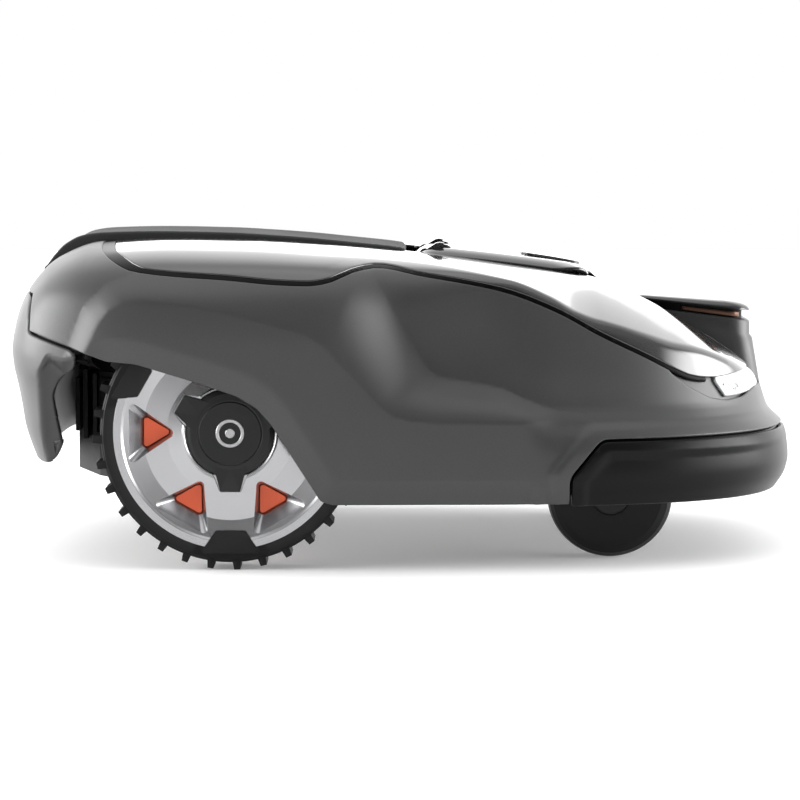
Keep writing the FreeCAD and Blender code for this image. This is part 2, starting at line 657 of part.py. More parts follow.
def height_knob():
    top = PANEL_Z + PANEL_T
    knob = post(CUT_X, 0, top + 0.6, top + 13, 19.5)
    knob = knob.makeFillet(1.4, [e for e in knob.Edges if e.BoundBox.ZMin > top + 12.9])
    for i in range(12):
        a = math.radians(30 * i + 15)
        flute = post(CUT_X + 21.2 * math.cos(a), 21.2 * math.sin(a), top, top + 20, 3.4)
        knob = knob.cut(flute)
    return knob.cut(post(CUT_X, 0, top, top + 9, 5.0))


def height_screw():
    """Screw that lifts the cutting carriage; its thread is left plain."""
    return post(CUT_X, 0, 106, PANEL_Z + PANEL_T + 9, 5.0)


# ---------------------------------------------------------------- cutting system
def motor_carriage():
    cup = post(CUT_X, 0, 70, 106, GUIDE_R - 1.0).cut(post(CUT_X, 0, 69, 102, 39.5))
    sleeve = post(CUT_X, 0, 104, 154, 15)
    carriage = fuse([cup, sleeve])
    return solid_of(carriage.cut(post(CUT_X, 0, 104.5, 160, 5.4)))


def cutting_motor():
    motor = post(CUT_X, 0, 72, 102, 39.5).fuse(post(CUT_X, 0, 69, 73, 30)).removeSplitter()
    return motor.cut(post(CUT_X, 0, 60, 80, 5 + RUNNING))


def blade_disc():
    """Dished disc on the motor's shaft, with a bore for each blade screw."""
    z = CUT_Z + 1.4
    plate = post(CUT_X, 0, z, z + 2.4, DISC_R)
    hub = post(CUT_X, 0, z, z + 6, 18)
    shaft = post(CUT_X, 0, z, 79, 5)
    rim = post(CUT_X, 0, z, z + 5.5, DISC_R).cut(post(CUT_X, 0, z - 1, z + 8, DISC_R - 3))
    disc = fuse([plate, hub, shaft, rim])
    for i in range(3):
        a = math.radians(120 * i)
        x, y = CUT_X + BLADE_PIVOT_R * math.cos(a), BLADE_PIVOT_R * math.sin(a)
        disc = disc.cut(post(x, y, z - 1, z + 8, 2.6))
    for i in range(6):
        a = math.radians(60 * i + 30)
        disc = disc.cut(post(CUT_X + 50 * math.cos(a), 50 * math.sin(a), z - 1, z + 8, 11))
    return solid_of(disc)


def blade(number):
    """A razor blade free to swing on its screw."""
    long, half = BLADE_REACH, 9.0
    z = CUT_Z
    corners = [V(-6, -half, z), V(long - 2, -half, z), V(long, -half + 2, z), V(long, half - 2, z),
               V(long - 2, half, z), V(-6, half, z)]
    strip = Part.Face(rounded(corners, 0.8)).extrude(V(0, 0, 0.8))
    strip = strip.cut(Part.makeCylinder(2.5 + RUNNING, 4, V(0, 0, z - 1)))
    strip.translate(V(CUT_X + BLADE_PIVOT_R, 0, 0))
    strip.rotate(V(CUT_X, 0, 0), V(0, 0, 1), 120 * number)
    return strip


def blade_screws():
    screws = []
    for i in range(3):
        a = math.radians(120 * i)
        x, y = CUT_X + BLADE_PIVOT_R * math.cos(a), BLADE_PIVOT_R * math.sin(a)
        screw = post(x, y, CUT_Z - 2.2, CUT_Z - 0.3, 4.4).fuse(post(x, y, CUT_Z - 0.4, CUT_Z + 6, 2.5))
        slot = box(x - 5, x + 5, y - 0.6, y + 0.6, CUT_Z - 3, CUT_Z - 1.4)
        screws.append(screw.removeSplitter().cut(slot))
    return Part.makeCompound(screws)


def skid_plate():
    """Free-turning dish below the disc that slides over the grass."""
    z = CUT_Z - 8.0
    profile = [V(CUT_X + r, 0, z + h) for r, h in
               [(4.05, 0), (30, 0), (58, 1.2), (64, 3.6), (62.6, 5.2), (57, 3.4), (30, 2.2),
                (16, 2.2), (16, 8.6), (4.05, 8.6)]]
    return turned(profile, V(CUT_X, 0, 0), V(0, 0, 1))


def skid_post():
    """Pin under the disc's hub that the skid plate turns on; it is one piece with the disc."""
    return post(CUT_X, 0, CUT_Z - 9.0, CUT_Z + 2, 4.0).fuse(post(CUT_X, 0, CUT_Z - 10.2, CUT_Z - 8.6, 7))


# ---------------------------------------------------------------- drive wheels
AXLE = V(WHEEL_X, 0, WHEEL_R)


def at_depth(d):
    """Y of a plane d inside the outer face of the right wheel."""
    return -(WHEEL_FACE_Y - d)


def wheel_turned(profile):
    points = [V(WHEEL_X + r, at_depth(d), WHEEL_R) for r, d in profile]
    return turned(points, AXLE, V(0, 1, 0))


def wheel_point(r, degrees, d):
    """A point of the wheel; 0 degrees is forward and 90 up, seen from the right side."""
    a = math.radians(degrees)
    return V(WHEEL_X + r * math.cos(a), at_depth(d), WHEEL_R + r * math.sin(a))


def wedge(inner_r, inner_half, outer_r, outer_half, degrees, d0, d1, radius):
    """A trapezoid block on the wheel's face that widens outwards."""
    a = math.radians(degrees)
    ux, uz = math.cos(a), math.sin(a)
    corners = []
    for r, s in [(inner_r, -inner_half), (outer_r, -outer_half), (outer_r, outer_half), (inner_r, inner_half)]:
        corners.append(V(WHEEL_X + r * ux - s * uz, at_depth(d0), WHEEL_R + r * uz + s * ux))
    return Part.Face(rounded(corners, radius)).extrude(V(0, d1 - d0, 0))


def bite(degrees, grow, d0, d1):
    return wedge(74 - grow, 11 + grow, RIM_R + 3, 23 + grow, degrees, d0, d1, 1.5)


def lug_row(d0, d1):
    """A toothed ring: one row of tread lugs."""
    points = []
    for i in range(LUGS):
        middle = 270 + LUG_PHASE + 360.0 * i / LUGS
        for r, off in [(TREAD_R - 1, -1.9), (WHEEL_R, -1.3), (WHEEL_R, 1.3), (TREAD_R - 1, 1.9)]:
            points.append(wheel_point(r, middle + off, d0))
    ring = Part.Face(Part.makePolygon(points + points[:1])).extrude(V(0, d1 - d0, 0))
    return ring.cut(cross_bar(WHEEL_X, WHEEL_R, at_depth(d0) - 1, at_depth(d1) + 1, RIM_R + 2))


def drive_tyre():
    w = WHEEL_W
    band = wheel_turned([(RIM_R, 0), (TREAD_R - 2.5, 0), (TREAD_R, 2.5), (TREAD_R, w - 2.5),
                         (TREAD_R - 2.5, w), (RIM_R, w)])
    rows = [lug_row(1.0, w / 2 - 1.0), lug_row(w / 2 + 1.0, w - 1.0)]
    bites = [bite(a, 0.0, -0.6, 5.0) for a in BITES]
    trimmed = [b.common(cross_bar(WHEEL_X, WHEEL_R, -260, -200, TREAD_R - 3)) for b in bites]
    return solid_of(fuse([band] + rows + trimmed))


def pocket_wire(apex_r, base_r, half, d, degrees, radius):
    a = math.radians(degrees)
    ux, uz = math.cos(a), math.sin(a)
    corners = []
    for r, s in [(apex_r, 0.0), (base_r, half), (base_r, -half)]:
        corners.append(V(WHEEL_X + r * ux - s * uz, at_depth(d), WHEEL_R + r * uz + s * ux))
    return rounded(corners, radius)


def drive_rim():
    w = WHEEL_W
    rim = wheel_turned([(RIM_R, 0), (RIM_R, w), (RIM_R - 3, w), (RIM_R - 3.4, 18), (28, 18), (26, w - 2),
                        (6, w - 2), (6, 4), (33.8, 4), (33.8, 0.2), (35.0, -0.8), (36.4, 0.4), (48, 2.2),
                        (66, 3.0), (80.5, 1.6), (82.5, 0)])
    for i in range(POCKETS):
        apex, base, half = WINDOW
        mouth = pocket_wire(39.0, 80.0, 29.5, -2.0, 60 * i, 4.0)
        floor = pocket_wire(apex - 0.6, base + 0.6, half + 0.6, 13.0, 60 * i, 2.6)
        rim = rim.cut(Part.makeLoft([mouth, floor], True, True))
        window = Part.Face(pocket_wire(apex - 0.6, base + 0.6, half + 0.6, 12.0, 60 * i, 2.6))
        rim = rim.cut(window.extrude(V(0, 10, 0)))
    for a in BITES:
        rim = rim.cut(bite(a, 0.05, -3, 5.05))
        rim = rim.cut(wedge(30, 13.6, 44.6, 7.9, a, -3, 2.6, 1.2))
    return solid_of(rim)


def drive_accent():
    """Orange plate behind the rim whose pads show through the six windows."""
    plate = wheel_turned([(38, 18.3), (74, 18.3), (74, 20.8), (38, 20.8)])
    parts = [plate]
    for i in range(POCKETS):
        apex, base, half = WINDOW
        pad = Part.Face(pocket_wire(apex, base, half, 11.5, 60 * i, 2.2)).extrude(V(0, 7.5, 0))
        parts.append(pad)
    return solid_of(fuse(parts))


def drive_cap():
    """Black hub cap with three wings."""
    disc = wheel_turned([(0, -1.6), (23.2, -1.6), (24.0, -0.9), (24.8, -1.4), (30, -1.0), (33.0, 0.4),
                         (33.6, 3.9), (0, 3.9)])
    parts = [disc]
    for a in BITES:
        parts.append(wedge(22, 13.2, 44.0, 7.6, a, -1.2, 2.5, 1.2))
    return solid_of(fuse(parts))


def drive_shaft():
    return cross_bar(WHEEL_X, WHEEL_R, -(WHEEL_FACE_Y - 4), -140, HUB_BORE_R)


def wheel_motor():
    """Geared hub motor in the tub, with its nose through the tub's wall."""
    body = cross_bar(WHEEL_X, WHEEL_R, -172, -92, 34)
    nose = cross_bar(WHEEL_X, WHEEL_R, -188, -171, 20)
    plate = cross_bar(WHEEL_X, WHEEL_R, -112, -104, 35)
    motor = fuse([body, nose, plate])
    return solid_of(motor.cut(cross_bar(WHEEL_X, WHEEL_R, -190, -139, HUB_BORE_R + RUNNING)))


# ---------------------------------------------------------------- front casters
CASTER_X = SWIVEL_X - TRAIL
CASTER_AXLE = V(CASTER_X, 0, CASTER_R)


def caster_turned(profile):
    """Profile of (radius, Y) points turned about the right caster's axle."""
    points = [V(CASTER_X + r, y, CASTER_R) for r, y in profile]
    return turned(points, CASTER_AXLE, V(0, 1, 0))


def caster_wheel():
    out, inner = -CASTER_Y - CASTER_W / 2, -CASTER_Y + CASTER_W / 2
    r = CASTER_R
    wheel = caster_turned([(6.0, out + 2.2), (15.2, out + 2.2), (15.2, out + 0.6), (r - 9, out), (r - 4, out + 1.8),
                           (r - 1.2, out + 6), (r, out + 13), (r, inner - 13), (r - 1.2, inner - 6),
                           (r - 4, inner - 1.8), (r - 9, inner), (12, inner), (12, inner - 8), (6.0, inner - 8)])
    return wheel


def caster_cap():
    """Cap and axle in one: it turns with the wheel, in the yoke's arm."""
    out, inner = -CASTER_Y - CASTER_W / 2, -CASTER_Y + CASTER_W / 2
    return caster_turned([(0, out - 0.4), (13.4, out - 0.4), (14.6, out + 0.6), (14.6, out + 2.1),
                          (6.0, out + 2.1), (6.0, inner - 8.0), (5.0, inner - 8.0), (5.0, inner + 8.0), (0, inner + 8.0)])


def caster_yoke():
    """One-armed yoke with its swivel stem."""
    inner = -CASTER_Y + CASTER_W / 2
    y0, y1 = inner + 1.6, inner + 8.6
    arm = side_slab([(CASTER_X - 11, CASTER_R - 4), (CASTER_X - 6, CASTER_R - 11), (CASTER_X + 6, CASTER_R - 11),
                     (CASTER_X + 11, CASTER_R - 4), (SWIVEL_X + 14, 94), (SWIVEL_X + 14, 106),
                     (SWIVEL_X - 14, 106), (CASTER_X - 11, 86)], y0, y1)
    crown = rounded_slab(SWIVEL_X - 14, SWIVEL_X + 14, -CASTER_Y - 14, y1, 100, 106, 6)
    collar = post(SWIVEL_X, -CASTER_Y, 104, 109.4, 13)
    stem = post(SWIVEL_X, -CASTER_Y, 104, 146, STEM_R)
    head = post(SWIVEL_X, -CASTER_Y, 140.4, 146, 11)
    yoke = fuse([arm, crown, collar, stem, head])
    return solid_of(yoke.cut(cross_bar(CASTER_X, CASTER_R, y0 - 1, y1 + 1, 5.0 + RUNNING)))


# ---------------------------------------------------------------- every node
def pair(name, shape):
    return {name + "_right": shape, name + "_left": mirror(shape)}


def nodes():
    made = {
        "body_shell": body_shell(), "top_cover": top_cover(), "cover_trim": cover_trim(),
        "front_bumper": front_bumper(), "rear_bumper": rear_bumper(), "contact_nose": contact_nose(),
        "charging_contacts": charging_contacts(), "headlight_boards": headlight_boards(),
        "suspension_pins": suspension_pins(), "chassis_lower": chassis_lower(),
        "chassis_seal": chassis_seal(), "chassis_upper": chassis_upper(),
        "chassis_screws": chassis_screws(), "console_panel": console_panel(),
        "display_window": display_window(), "battery_pack": battery_pack(),
        "main_board": main_board(), "loop_coils": loop_coils(), "power_switch": power_switch(),
        "hatch_lid": hatch_lid(), "hatch_hinge_pin": hatch_hinge_pin(), "stop_button": stop_button(),
        "height_knob": height_knob(), "height_screw": height_screw(),
        "motor_carriage": motor_carriage(), "cutting_motor": cutting_motor(),
        "blade_disc": solid_of(fuse([blade_disc(), skid_post()])), "blade_screws": blade_screws(),
        "skid_plate": skid_plate(),
    }
    for name in KEY_PLACES:
        made["key_" + name] = key(name)
    for i in range(3):
        made["blade_%d" % (i + 1)] = blade(i)
    made.update(pair("headlight_lens", headlight_lens()))
    made.update(pair("drive_tyre", drive_tyre()))
    made.update(pair("drive_rim", drive_rim()))
    made.update(pair("drive_accent", drive_accent()))
    made.update(pair("drive_cap", drive_cap()))
    made.update(pair("drive_shaft", drive_shaft()))
    made.update(pair("wheel_motor", wheel_motor()))
    made.update(pair("caster_bracket", caster_bracket()))
    made.update(pair("caster_yoke", caster_yoke()))
    made.update(pair("caster_wheel", caster_wheel()))
    made.update(pair("caster_cap", caster_cap()))
    return made


def export():
    os.makedirs("parts", exist_ok=True)
    made = nodes()
    for name, shape in sorted(made.items()):
        if not shape.isValid() or not shape.Solids:
            print("PROBLEM", name, "valid", shape.isValid(), "solids", len(shape.Solids))
        shape.exportStep("parts/" + name + ".step")
    print(len(made), "nodes,", round(sum(s.Volume for s in made.values()) / 1000.0), "cm3")


export()
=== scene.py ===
import bpy
import bmesh
import json
import math
import numpy as np
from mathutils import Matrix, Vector


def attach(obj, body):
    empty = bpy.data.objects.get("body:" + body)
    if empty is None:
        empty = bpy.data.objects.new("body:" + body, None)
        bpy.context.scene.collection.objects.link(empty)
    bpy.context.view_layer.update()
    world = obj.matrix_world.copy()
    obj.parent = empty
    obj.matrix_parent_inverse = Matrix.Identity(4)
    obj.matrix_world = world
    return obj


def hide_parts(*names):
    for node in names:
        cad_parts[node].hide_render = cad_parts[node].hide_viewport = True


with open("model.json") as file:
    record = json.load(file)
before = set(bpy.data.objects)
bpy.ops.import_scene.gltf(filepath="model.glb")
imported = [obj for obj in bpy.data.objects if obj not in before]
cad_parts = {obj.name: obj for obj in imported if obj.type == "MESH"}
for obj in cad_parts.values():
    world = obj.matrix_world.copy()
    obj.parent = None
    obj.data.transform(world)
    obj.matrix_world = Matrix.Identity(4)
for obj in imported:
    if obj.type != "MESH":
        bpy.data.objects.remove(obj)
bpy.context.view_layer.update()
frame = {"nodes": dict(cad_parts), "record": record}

MM = 0.001                      # the shapes below are worked out in millimetres
WHEEL_X, WHEEL_Z = -128.0, 103.5    # drive axle
SHARP_ANGLE = math.radians(32)  # faces that meet at more than this keep a sharp edge


# ------------------------------------------------------------------ curves
def smooth(a, b, x):
    """0 up to a, 1 from b on, with an even ease between them."""
    t = np.clip((x - a) / (b - a), 0.0, 1.0)
    return t * t * (3.0 - 2.0 * t)


def curve(points):
    """A function through (x, y) points that never overshoots them, level beyond both ends."""
    xs = np.array([p[0] for p in points], float)
    ys = np.array([p[1] for p in points], float)
    h = np.diff(xs)
    step = np.diff(ys) / h
    slope = np.zeros_like(xs)
    both = step[:-1] * step[1:] > 0
    slope[1:-1][both] = 2 * step[:-1][both] * step[1:][both] / (step[:-1][both] + step[1:][both])

    def value(x):
        x = np.clip(x, xs[0], xs[-1])
        i = np.clip(np.searchsorted(xs, x, side="right") - 1, 0, len(xs) - 2)
        t = (x - xs[i]) / h[i]
        a = (2 * t ** 3 - 3 * t ** 2 + 1) * ys[i] + (t ** 3 - 2 * t ** 2 + t) * h[i] * slope[i]
        b = (3 * t ** 2 - 2 * t ** 3) * ys[i + 1] + (t ** 3 - t ** 2) * h[i] * slope[i + 1]
        return a + b

    return value


def polyline(points):
    """A function through (x, y) points with straight runs."""
    xs = [p[0] for p in points]
    ys = [p[1] for p in points]
    return lambda x: np.interp(x, xs, ys)


def distance(px, pz, points, closed=False):
    """Unsigned distance of each (px, pz) from a line of straight runs."""
    pts = list(points) + ([points[0]] if closed else [])
    best = np.full(np.shape(px), 1e9)
    for (ax, az), (bx, bz) in zip(pts, pts[1:]):
        dx, dz = bx - ax, bz - az
        t = np.clip(((px - ax) * dx + (pz - az) * dz) / (dx * dx + dz * dz), 0.0, 1.0)
        best = np.minimum(best, np.hypot(px - ax - t * dx, pz - az - t * dz))
    return best


def inside(px, pz, points):
    """True where (px, pz) lies in the polygon."""
    odd = np.zeros(np.shape(px), bool)
    for (ax, az), (bx, bz) in zip(points, points[1:] + points[:1]):
        if az == bz:
            continue
        crosses = (az > pz) != (bz > pz)
        odd ^= crosses & (px < (bx - ax) * (pz - az) / (bz - az) + ax)
    return odd


def signed(px, pz, points):
    """Distance from a polygon's edge, positive inside it."""
    d = distance(px, pz, points, closed=True)
    return np.where(inside(px, pz, points), d, -d)


def rounded_points(points, radius, steps=5):
    """The polygon's corners replaced by arcs, as points."""
    out = []
    n = len(points)
    for i, p in enumerate(points):
        p = Vector(p)
        a = (Vector(points[i - 1]) - p)
        b = (Vector(points[(i + 1) % n]) - p)
        reach = min(radius, 0.45 * a.length, 0.45 * b.length)
        a, b = p + a.normalized() * reach, p + b.normalized() * reach
        for k in range(steps + 1):
            t = k / steps
            out.append(tuple(a * (1 - t) ** 2 + p * 2 * t * (1 - t) + b * t ** 2))
    return out


# ------------------------------------------------------------------ outside form of the body
FRONT_LENGTH, REAR_LENGTH, HALF_WIDTH = 312.0, 307.0, 255.0
FRONT_POWER, REAR_POWER = 2.9, 4.8
SKIRT_Z = 50.0

# (height, how far the side stands inside the plan outline): at the two ends of the body, on the raised
# plate round the wheel and along the sill, and on the hollow flank above it
FRONT_INSET = curve([(44, 14), (50, 9), (62, 2.0), (72, 0), (88, 1.5), (99, 5), (112, 17), (125, 21),
                     (150, 26), (183, 35), (215, 50), (262, 90)])
REAR_INSET = curve([(50, 34), (75, 22), (103, 12), (118, 9.5), (133, 6.5), (149, 3), (160, 2), (178, 4.5),
                    (205, 12), (222, 21), (262, 50)])
PLATE_REAR = curve([(50, 1), (75, 0.4), (100, 0), (170, 0.5), (205, 3), (262, 20)])
PLATE_MID = curve([(50, 3), (75, 2.6), (112, 3), (262, 20)])
PLATE_FRONT = curve([(44, 12), (50, 8), (62, 2.2), (74, 1.0), (88, 1.4), (99, 3.5), (112, 10), (262, 60)])
FLOOR_REAR = curve([(140, 5), (165, 8.5), (185, 10), (205, 12), (222, 18), (262, 62)])
FLOOR_WAIST = curve([(112, 16), (138, 27), (160, 31), (205, 35), (222, 38), (262, 76)])
FLOOR_FENDER = curve([(112, 12), (125, 17), (150, 20), (175, 25), (205, 34), (222, 42), (262, 80)])
# (x, height of the middle line) and (x, fall from it to the shoulder)
RIDGE = curve([(-330, 178), (-306, 204), (-290, 219), (-268, 234), (-240, 242), (-180, 245), (-120, 244),
               (-60, 240.5), (0, 235), (50, 229), (100, 222), (130, 217.5), (150, 214.5), (168, 209),
               (187, 201), (203, 193), (236, 173), (262, 156), (278, 143), (330, 96)])
DROP = curve([(-330, 14), (-200, 9), (0, 6), (30, 5), (83, 8), (114, 17), (135, 26), (152, 29.5),
              (172, 28.5), (190, 26.5), (205, 24), (228, 16), (240, 12.5), (272, 7), (330, 4)])
# the upper edge of the raised plate and the lower edge of the hollow flank, and what each encloses
CREASE = [(-250, 140), (-237, 164), (-228, 184), (-219, 196), (-209, 202), (-194, 203.5), (-166, 200.7),
          (-134, 195), (-102, 187.3), (-71, 178.6), (-60, 171.6), (-51.5, 163.7), (-33, 144.8),
          (-14, 124.3), (-5, 117.5), (8, 114), (26, 112.4), (45, 112), (345, 112)]
HOLLOW = [(-400, 132), (-262, 140), (-250, 172), (-240, 198), (-222, 216), (-200, 224), (-130, 222),
          (-66, 222), (-36, 234), (-22.5, 226), (0, 187), (22.5, 150), (30, 145.5), (62, 140.5), (78, 137),
          (94, 129.3), (120, 120), (140, 118.5), (345, 118.5)]
PLATE_AREA = CREASE + [(345, -50), (-250, -50)]
FLOOR_AREA = HOLLOW + [(345, 400), (-400, 400)]
# lower edge of the shell over the drive wheel, and the shut lines, all in the XZ plane
ARCH = [(-221, 157.5), (-198, 155.5), (-172, 148), (-149, 141), (-123, 132), (-108, 123), (-97, 111),
        (-82, 87.5), (-60, 53), (-52, SKIRT_Z)]
SEAM = curve([(-236, 249), (-227, 241), (-212, 232), (-197, 226), (-175, 223.5), (-130, 220.5),
              (-90, 217), (-68, 216.3), (-52, 219), (-36, 225.5), (-18, 228.5), (15, 222.5),
              (53, 216), (83, 209), (121, 194), (151, 177.5), (191, 158), (212, 147), (226, 141.5),
              (243, 139.8), (262, 142), (285, 147.5), (330, 155)])
BUMPER = rounded_points([(127.5, 0), (127.5, 70.5), (151.8, 99.5), (400, 99.5), (400, 0)], 6)
BUMPER_LINE = [(127.5, 30), (127.5, 70.5), (151.8, 99.5), (345, 99.5)]
REAR_CUT = [(-400, 205.5), (-283, 205.5), (-283.5, 178), (-250, 167.5)] + ARCH + [(-52, 0), (-400, 0)]
REAR_LINE = [(-330, 205), (-284, 205), (-284, 177), (-250, 166.5), (-240, 163)]
BEVEL = 17.0                    # width of the inward bevel along the arch and the skirt
BEVEL_DEPTH, BEVEL_GAIN = 3.2, 2.2      # its depth at the rear, and how much deeper it is further on
FACET_WIDTH, FACET_FADE, FACET_DEPTH = 11.0, 3.5, 3.2    # raised border round the front bumper
LEG_FACE = 205.0                # half-width of the flat faces on the two rear legs
LEG_LINE = polyline([(-330, 118), (-284, 136), (-267.5, 155.5), (-256, 146), (-240, 143)])


def halves(x):
    """How much of the side belongs to the wheel flare, the waist and the front fender."""
    wheel = 1.0 - smooth(-70, 6, x)
    fender = smooth(52, 118, x)
    return wheel, np.clip(1.0 - wheel - fender, 0.0, 1.0), fender


def side_inset(x, z):
    """How far the side stands inside the plan outline at this place."""
    wheel, waist, fender = halves(x)
    front = smooth(92, 122, x)
    rear = 1.0 - smooth(-60, 40, x)
    plate = rear * PLATE_REAR(z) + (1 - rear - front) * PLATE_MID(z) + front * PLATE_FRONT(z)
    facet = np.clip((distance(x, z, BUMPER_LINE) - FACET_WIDTH) / FACET_FADE, 0.0, 1.0)
    plate = plate - FACET_DEPTH * (1 - facet) * smooth(60, 92, x) * (1 - smooth(106, 112, z))
    low = np.minimum(distance(x, z, ARCH), np.where(x > -56, np.abs(z - SKIRT_Z), 1e9))
    depth = BEVEL_DEPTH + BEVEL_GAIN * smooth(-180, -110, x)
    plate = plate + depth * np.clip(1.0 - low / BEVEL, 0.0, 1.0) * (1 - smooth(96, 104, x))
    floor = wheel * FLOOR_REAR(z) + waist * FLOOR_WAIST(z) + fender * FLOOR_FENDER(z)
    on_plate = inside(x, z, PLATE_AREA)
    in_floor = inside(x, z, FLOOR_AREA)
    d1 = distance(x, z, CREASE)
    d2 = distance(x, z, HOLLOW)
    part = np.where(on_plate, 0.0, np.where(in_floor, 1.0, d1 / (d1 + d2 + 1e-6)))
    soft = part * part * (3 - 2 * part)
    part = 0.55 * part + 0.45 * soft
    return plate * (1 - part) + floor * part


def plan(x, y):
    """The point's polar radius, the plan outline's radius in that direction, the X of the outline's
    normal there, and how far the normal faces the same way."""
    r = np.hypot(x, y) + 1e-9
    c, s = np.abs(x) / r, np.abs(y) / r
    n = np.where(x > 0, FRONT_POWER, REAR_POWER)
    long = np.where(x > 0, FRONT_LENGTH, REAR_LENGTH)
    c, s = np.maximum(c, 1e-9), np.maximum(s, 1e-9)
    edge = ((c / long) ** n + (s / HALF_WIDTH) ** n) ** (-1.0 / n)
    nx = (c * edge / long) ** (n - 1) / long
    ny = (s * edge / HALF_WIDTH) ** (n - 1) / HALF_WIDTH
    size = np.hypot(nx, ny)
    nx, ny = nx / size, ny / size
    return r, edge, nx, nx * c + ny * s


def width_at(x):
    """Half-width of the plan outline."""
    n = np.where(x > 0, FRONT_POWER, REAR_POWER)
    long = np.where(x > 0, FRONT_LENGTH, REAR_LENGTH)
    return HALF_WIDTH * np.maximum(1e-6, 1 - np.clip(np.abs(x) / long, 0, 1) ** n) ** (1 / n)


def top_height(x, y):
    """Height of the top, with the valley that the charging nose stands in."""
    a = np.abs(y)
    valley = 15.0 * smooth(165, 215, x) * (1.0 - smooth(45, 92, a))
    reach = np.maximum(width_at(x) - 26.0, 110.0)
    t = np.maximum(0.0, (a - 80.0) / (reach - 80.0))
    return RIDGE(x) - valley - DROP(x) * np.where(t < 1, t ** 1.7, 1 + 1.7 * (t - 1))


def body(p):
    """Signed height above the body's outside form, in mm: negative inside."""
    x, y, z = p[..., 0], p[..., 1], p[..., 2]
    r, edge, nx, facing = plan(x, y)
    end = np.where(x > 0, FRONT_INSET(z), REAR_INSET(z))
    d = end * nx * nx + side_inset(x, z) * (1 - nx * nx)
    side = (r - edge) * facing + d
    above = z - LEG_LINE(x)
    leg = np.abs(y) - LEG_FACE - np.where(above > 0, 1.5 * above, 0.12 * above)
    side = np.where(x < -240, np.maximum(side, leg), side)
    top = (z - top_height(x, y)) * 0.96
    shoulder = 34.0 - 29.0 * smooth(-10, 90, x) - 12.0 * (1 - smooth(-285, -235, x))
    h = np.maximum(shoulder - np.abs(side - top), 0.0) / shoulder
    return np.maximum(side, top) + h * h * shoulder * 0.25


def gradient(p):
    """Outward normal of the form, from differences over a short step."""
    g = np.empty_like(p)
    for i in range(3):
        step = np.zeros(3)
        step[i] = 0.4
        g[..., i] = body(p + step) - body(p - step)
    return g / np.linalg.norm(g, axis=-1, keepdims=True)


def settle(p, rounds=3):
    """Moves points onto the form along its normal."""
    for _ in range(rounds):
        p = p - gradient(p) * body(p)[..., None]
    return p


# ------------------------------------------------------------------ mesh with cut lines
TINY = 1e-4                     # a vertex this near a level counts as on it


class Skin:
    """The right half of the body's surface: vertices and polygons, which cut lines may divide."""

    def __init__(self, verts, faces):
        self.verts = [tuple(v) for v in verts]
        self.faces = faces

    def array(self):
        """The vertices as an array."""
        return np.array(self.verts)

    def split(self, field, levels, keep_above=None):
        """Adds edges where field equals each level, and drops what lies under keep_above."""
        values = list(field(self.array()))
        for level in levels:
            cut = {}
            faces = []
            for face in self.faces:
                vals = [values[i] - level for i in face]
                if min(vals) > -TINY:
                    faces.append(face)
                    continue
                if max(vals) < TINY:
                    if level != keep_above:
                        faces.append(face)
                    continue
                high, low = [], []
                n = len(face)
                for k in range(n):
                    i, j = face[k], face[(k + 1) % n]
                    a, b = vals[k], vals[(k + 1) % n]
                    if a >= -TINY:
                        high.append(i)
                    if a <= TINY:
                        low.append(i)
                    if (a > TINY and b < -TINY) or (a < -TINY and b > TINY):
                        key = (i, j) if i < j else (j, i)
                        if key not in cut:
                            t = a / (a - b)
                            p, q = self.verts[i], self.verts[j]
                            cut[key] = len(self.verts)
                            self.verts.append(tuple(p[m] + t * (q[m] - p[m]) for m in range(3)))
                            values.append(level)
                        high.append(cut[key])
                        low.append(cut[key])
                if len(high) > 2:
                    faces.append(high)
                if len(low) > 2 and level != keep_above:
                    faces.append(low)
            self.faces = faces
        return values

    def copy(self):
        """A skin of its own with the same shape."""
        return Skin(self.verts, [list(f) for f in self.faces])

    def compact(self, *extra):
        """Drops unused vertices, and their entries from each extra list."""
        used = sorted({i for f in self.faces for i in f})
        index = {old: new for new, old in enumerate(used)}
        self.verts = [self.verts[i] for i in used]
        self.faces = [[index[i] for i in f] for f in self.faces]
        return [[e[i] for i in used] for e in extra]


COLUMNS, ROWS = 320, 150        # faces round the half body and up it
SKIN_FLOOR = 44.0               # height of the skin's lowest row
RAY_HEIGHT = 110.0              # height that the rays start from
RAY_DIP = math.radians(48)      # how far below level the lowest ray points


def even_outline():
    """Points at even spacing along the right half of the plan outline, from the back to the front."""
    angle = np.linspace(math.pi, 2 * math.pi, 4000)
    n = np.where(np.cos(angle) > 0, FRONT_POWER, REAR_POWER)
    long = np.where(np.cos(angle) > 0, FRONT_LENGTH, REAR_LENGTH)
    r = ((np.abs(np.cos(angle)) / long) ** n + (np.abs(np.sin(angle)) / HALF_WIDTH) ** n) ** (-1 / n)
    line = np.stack([r * np.cos(angle), r * np.sin(angle)], 1)
    run = np.concatenate([[0], np.cumsum(np.linalg.norm(np.diff(line, axis=0), axis=1))])
    even = np.linspace(0, run[-1], COLUMNS + 1)
    x, y = np.interp(even, run, line[:, 0]), np.interp(even, run, line[:, 1])
    y[0] = y[-1] = 0.0
    return x, y


def ray_hits(origin, direction):
    """Where each ray leaves the body, found by halving."""
    low = np.full(direction.shape[:2], 8.0)
    high = np.full(direction.shape[:2], 460.0)
    for _ in range(20):
        mid = 0.5 * (low + high)
        within = body(origin[:, None, :] + direction * mid[..., None]) < 0
        low = np.where(within, mid, low)
        high = np.where(within, high, mid)
    return origin[:, None, :] + direction * (0.5 * (low + high))[..., None]


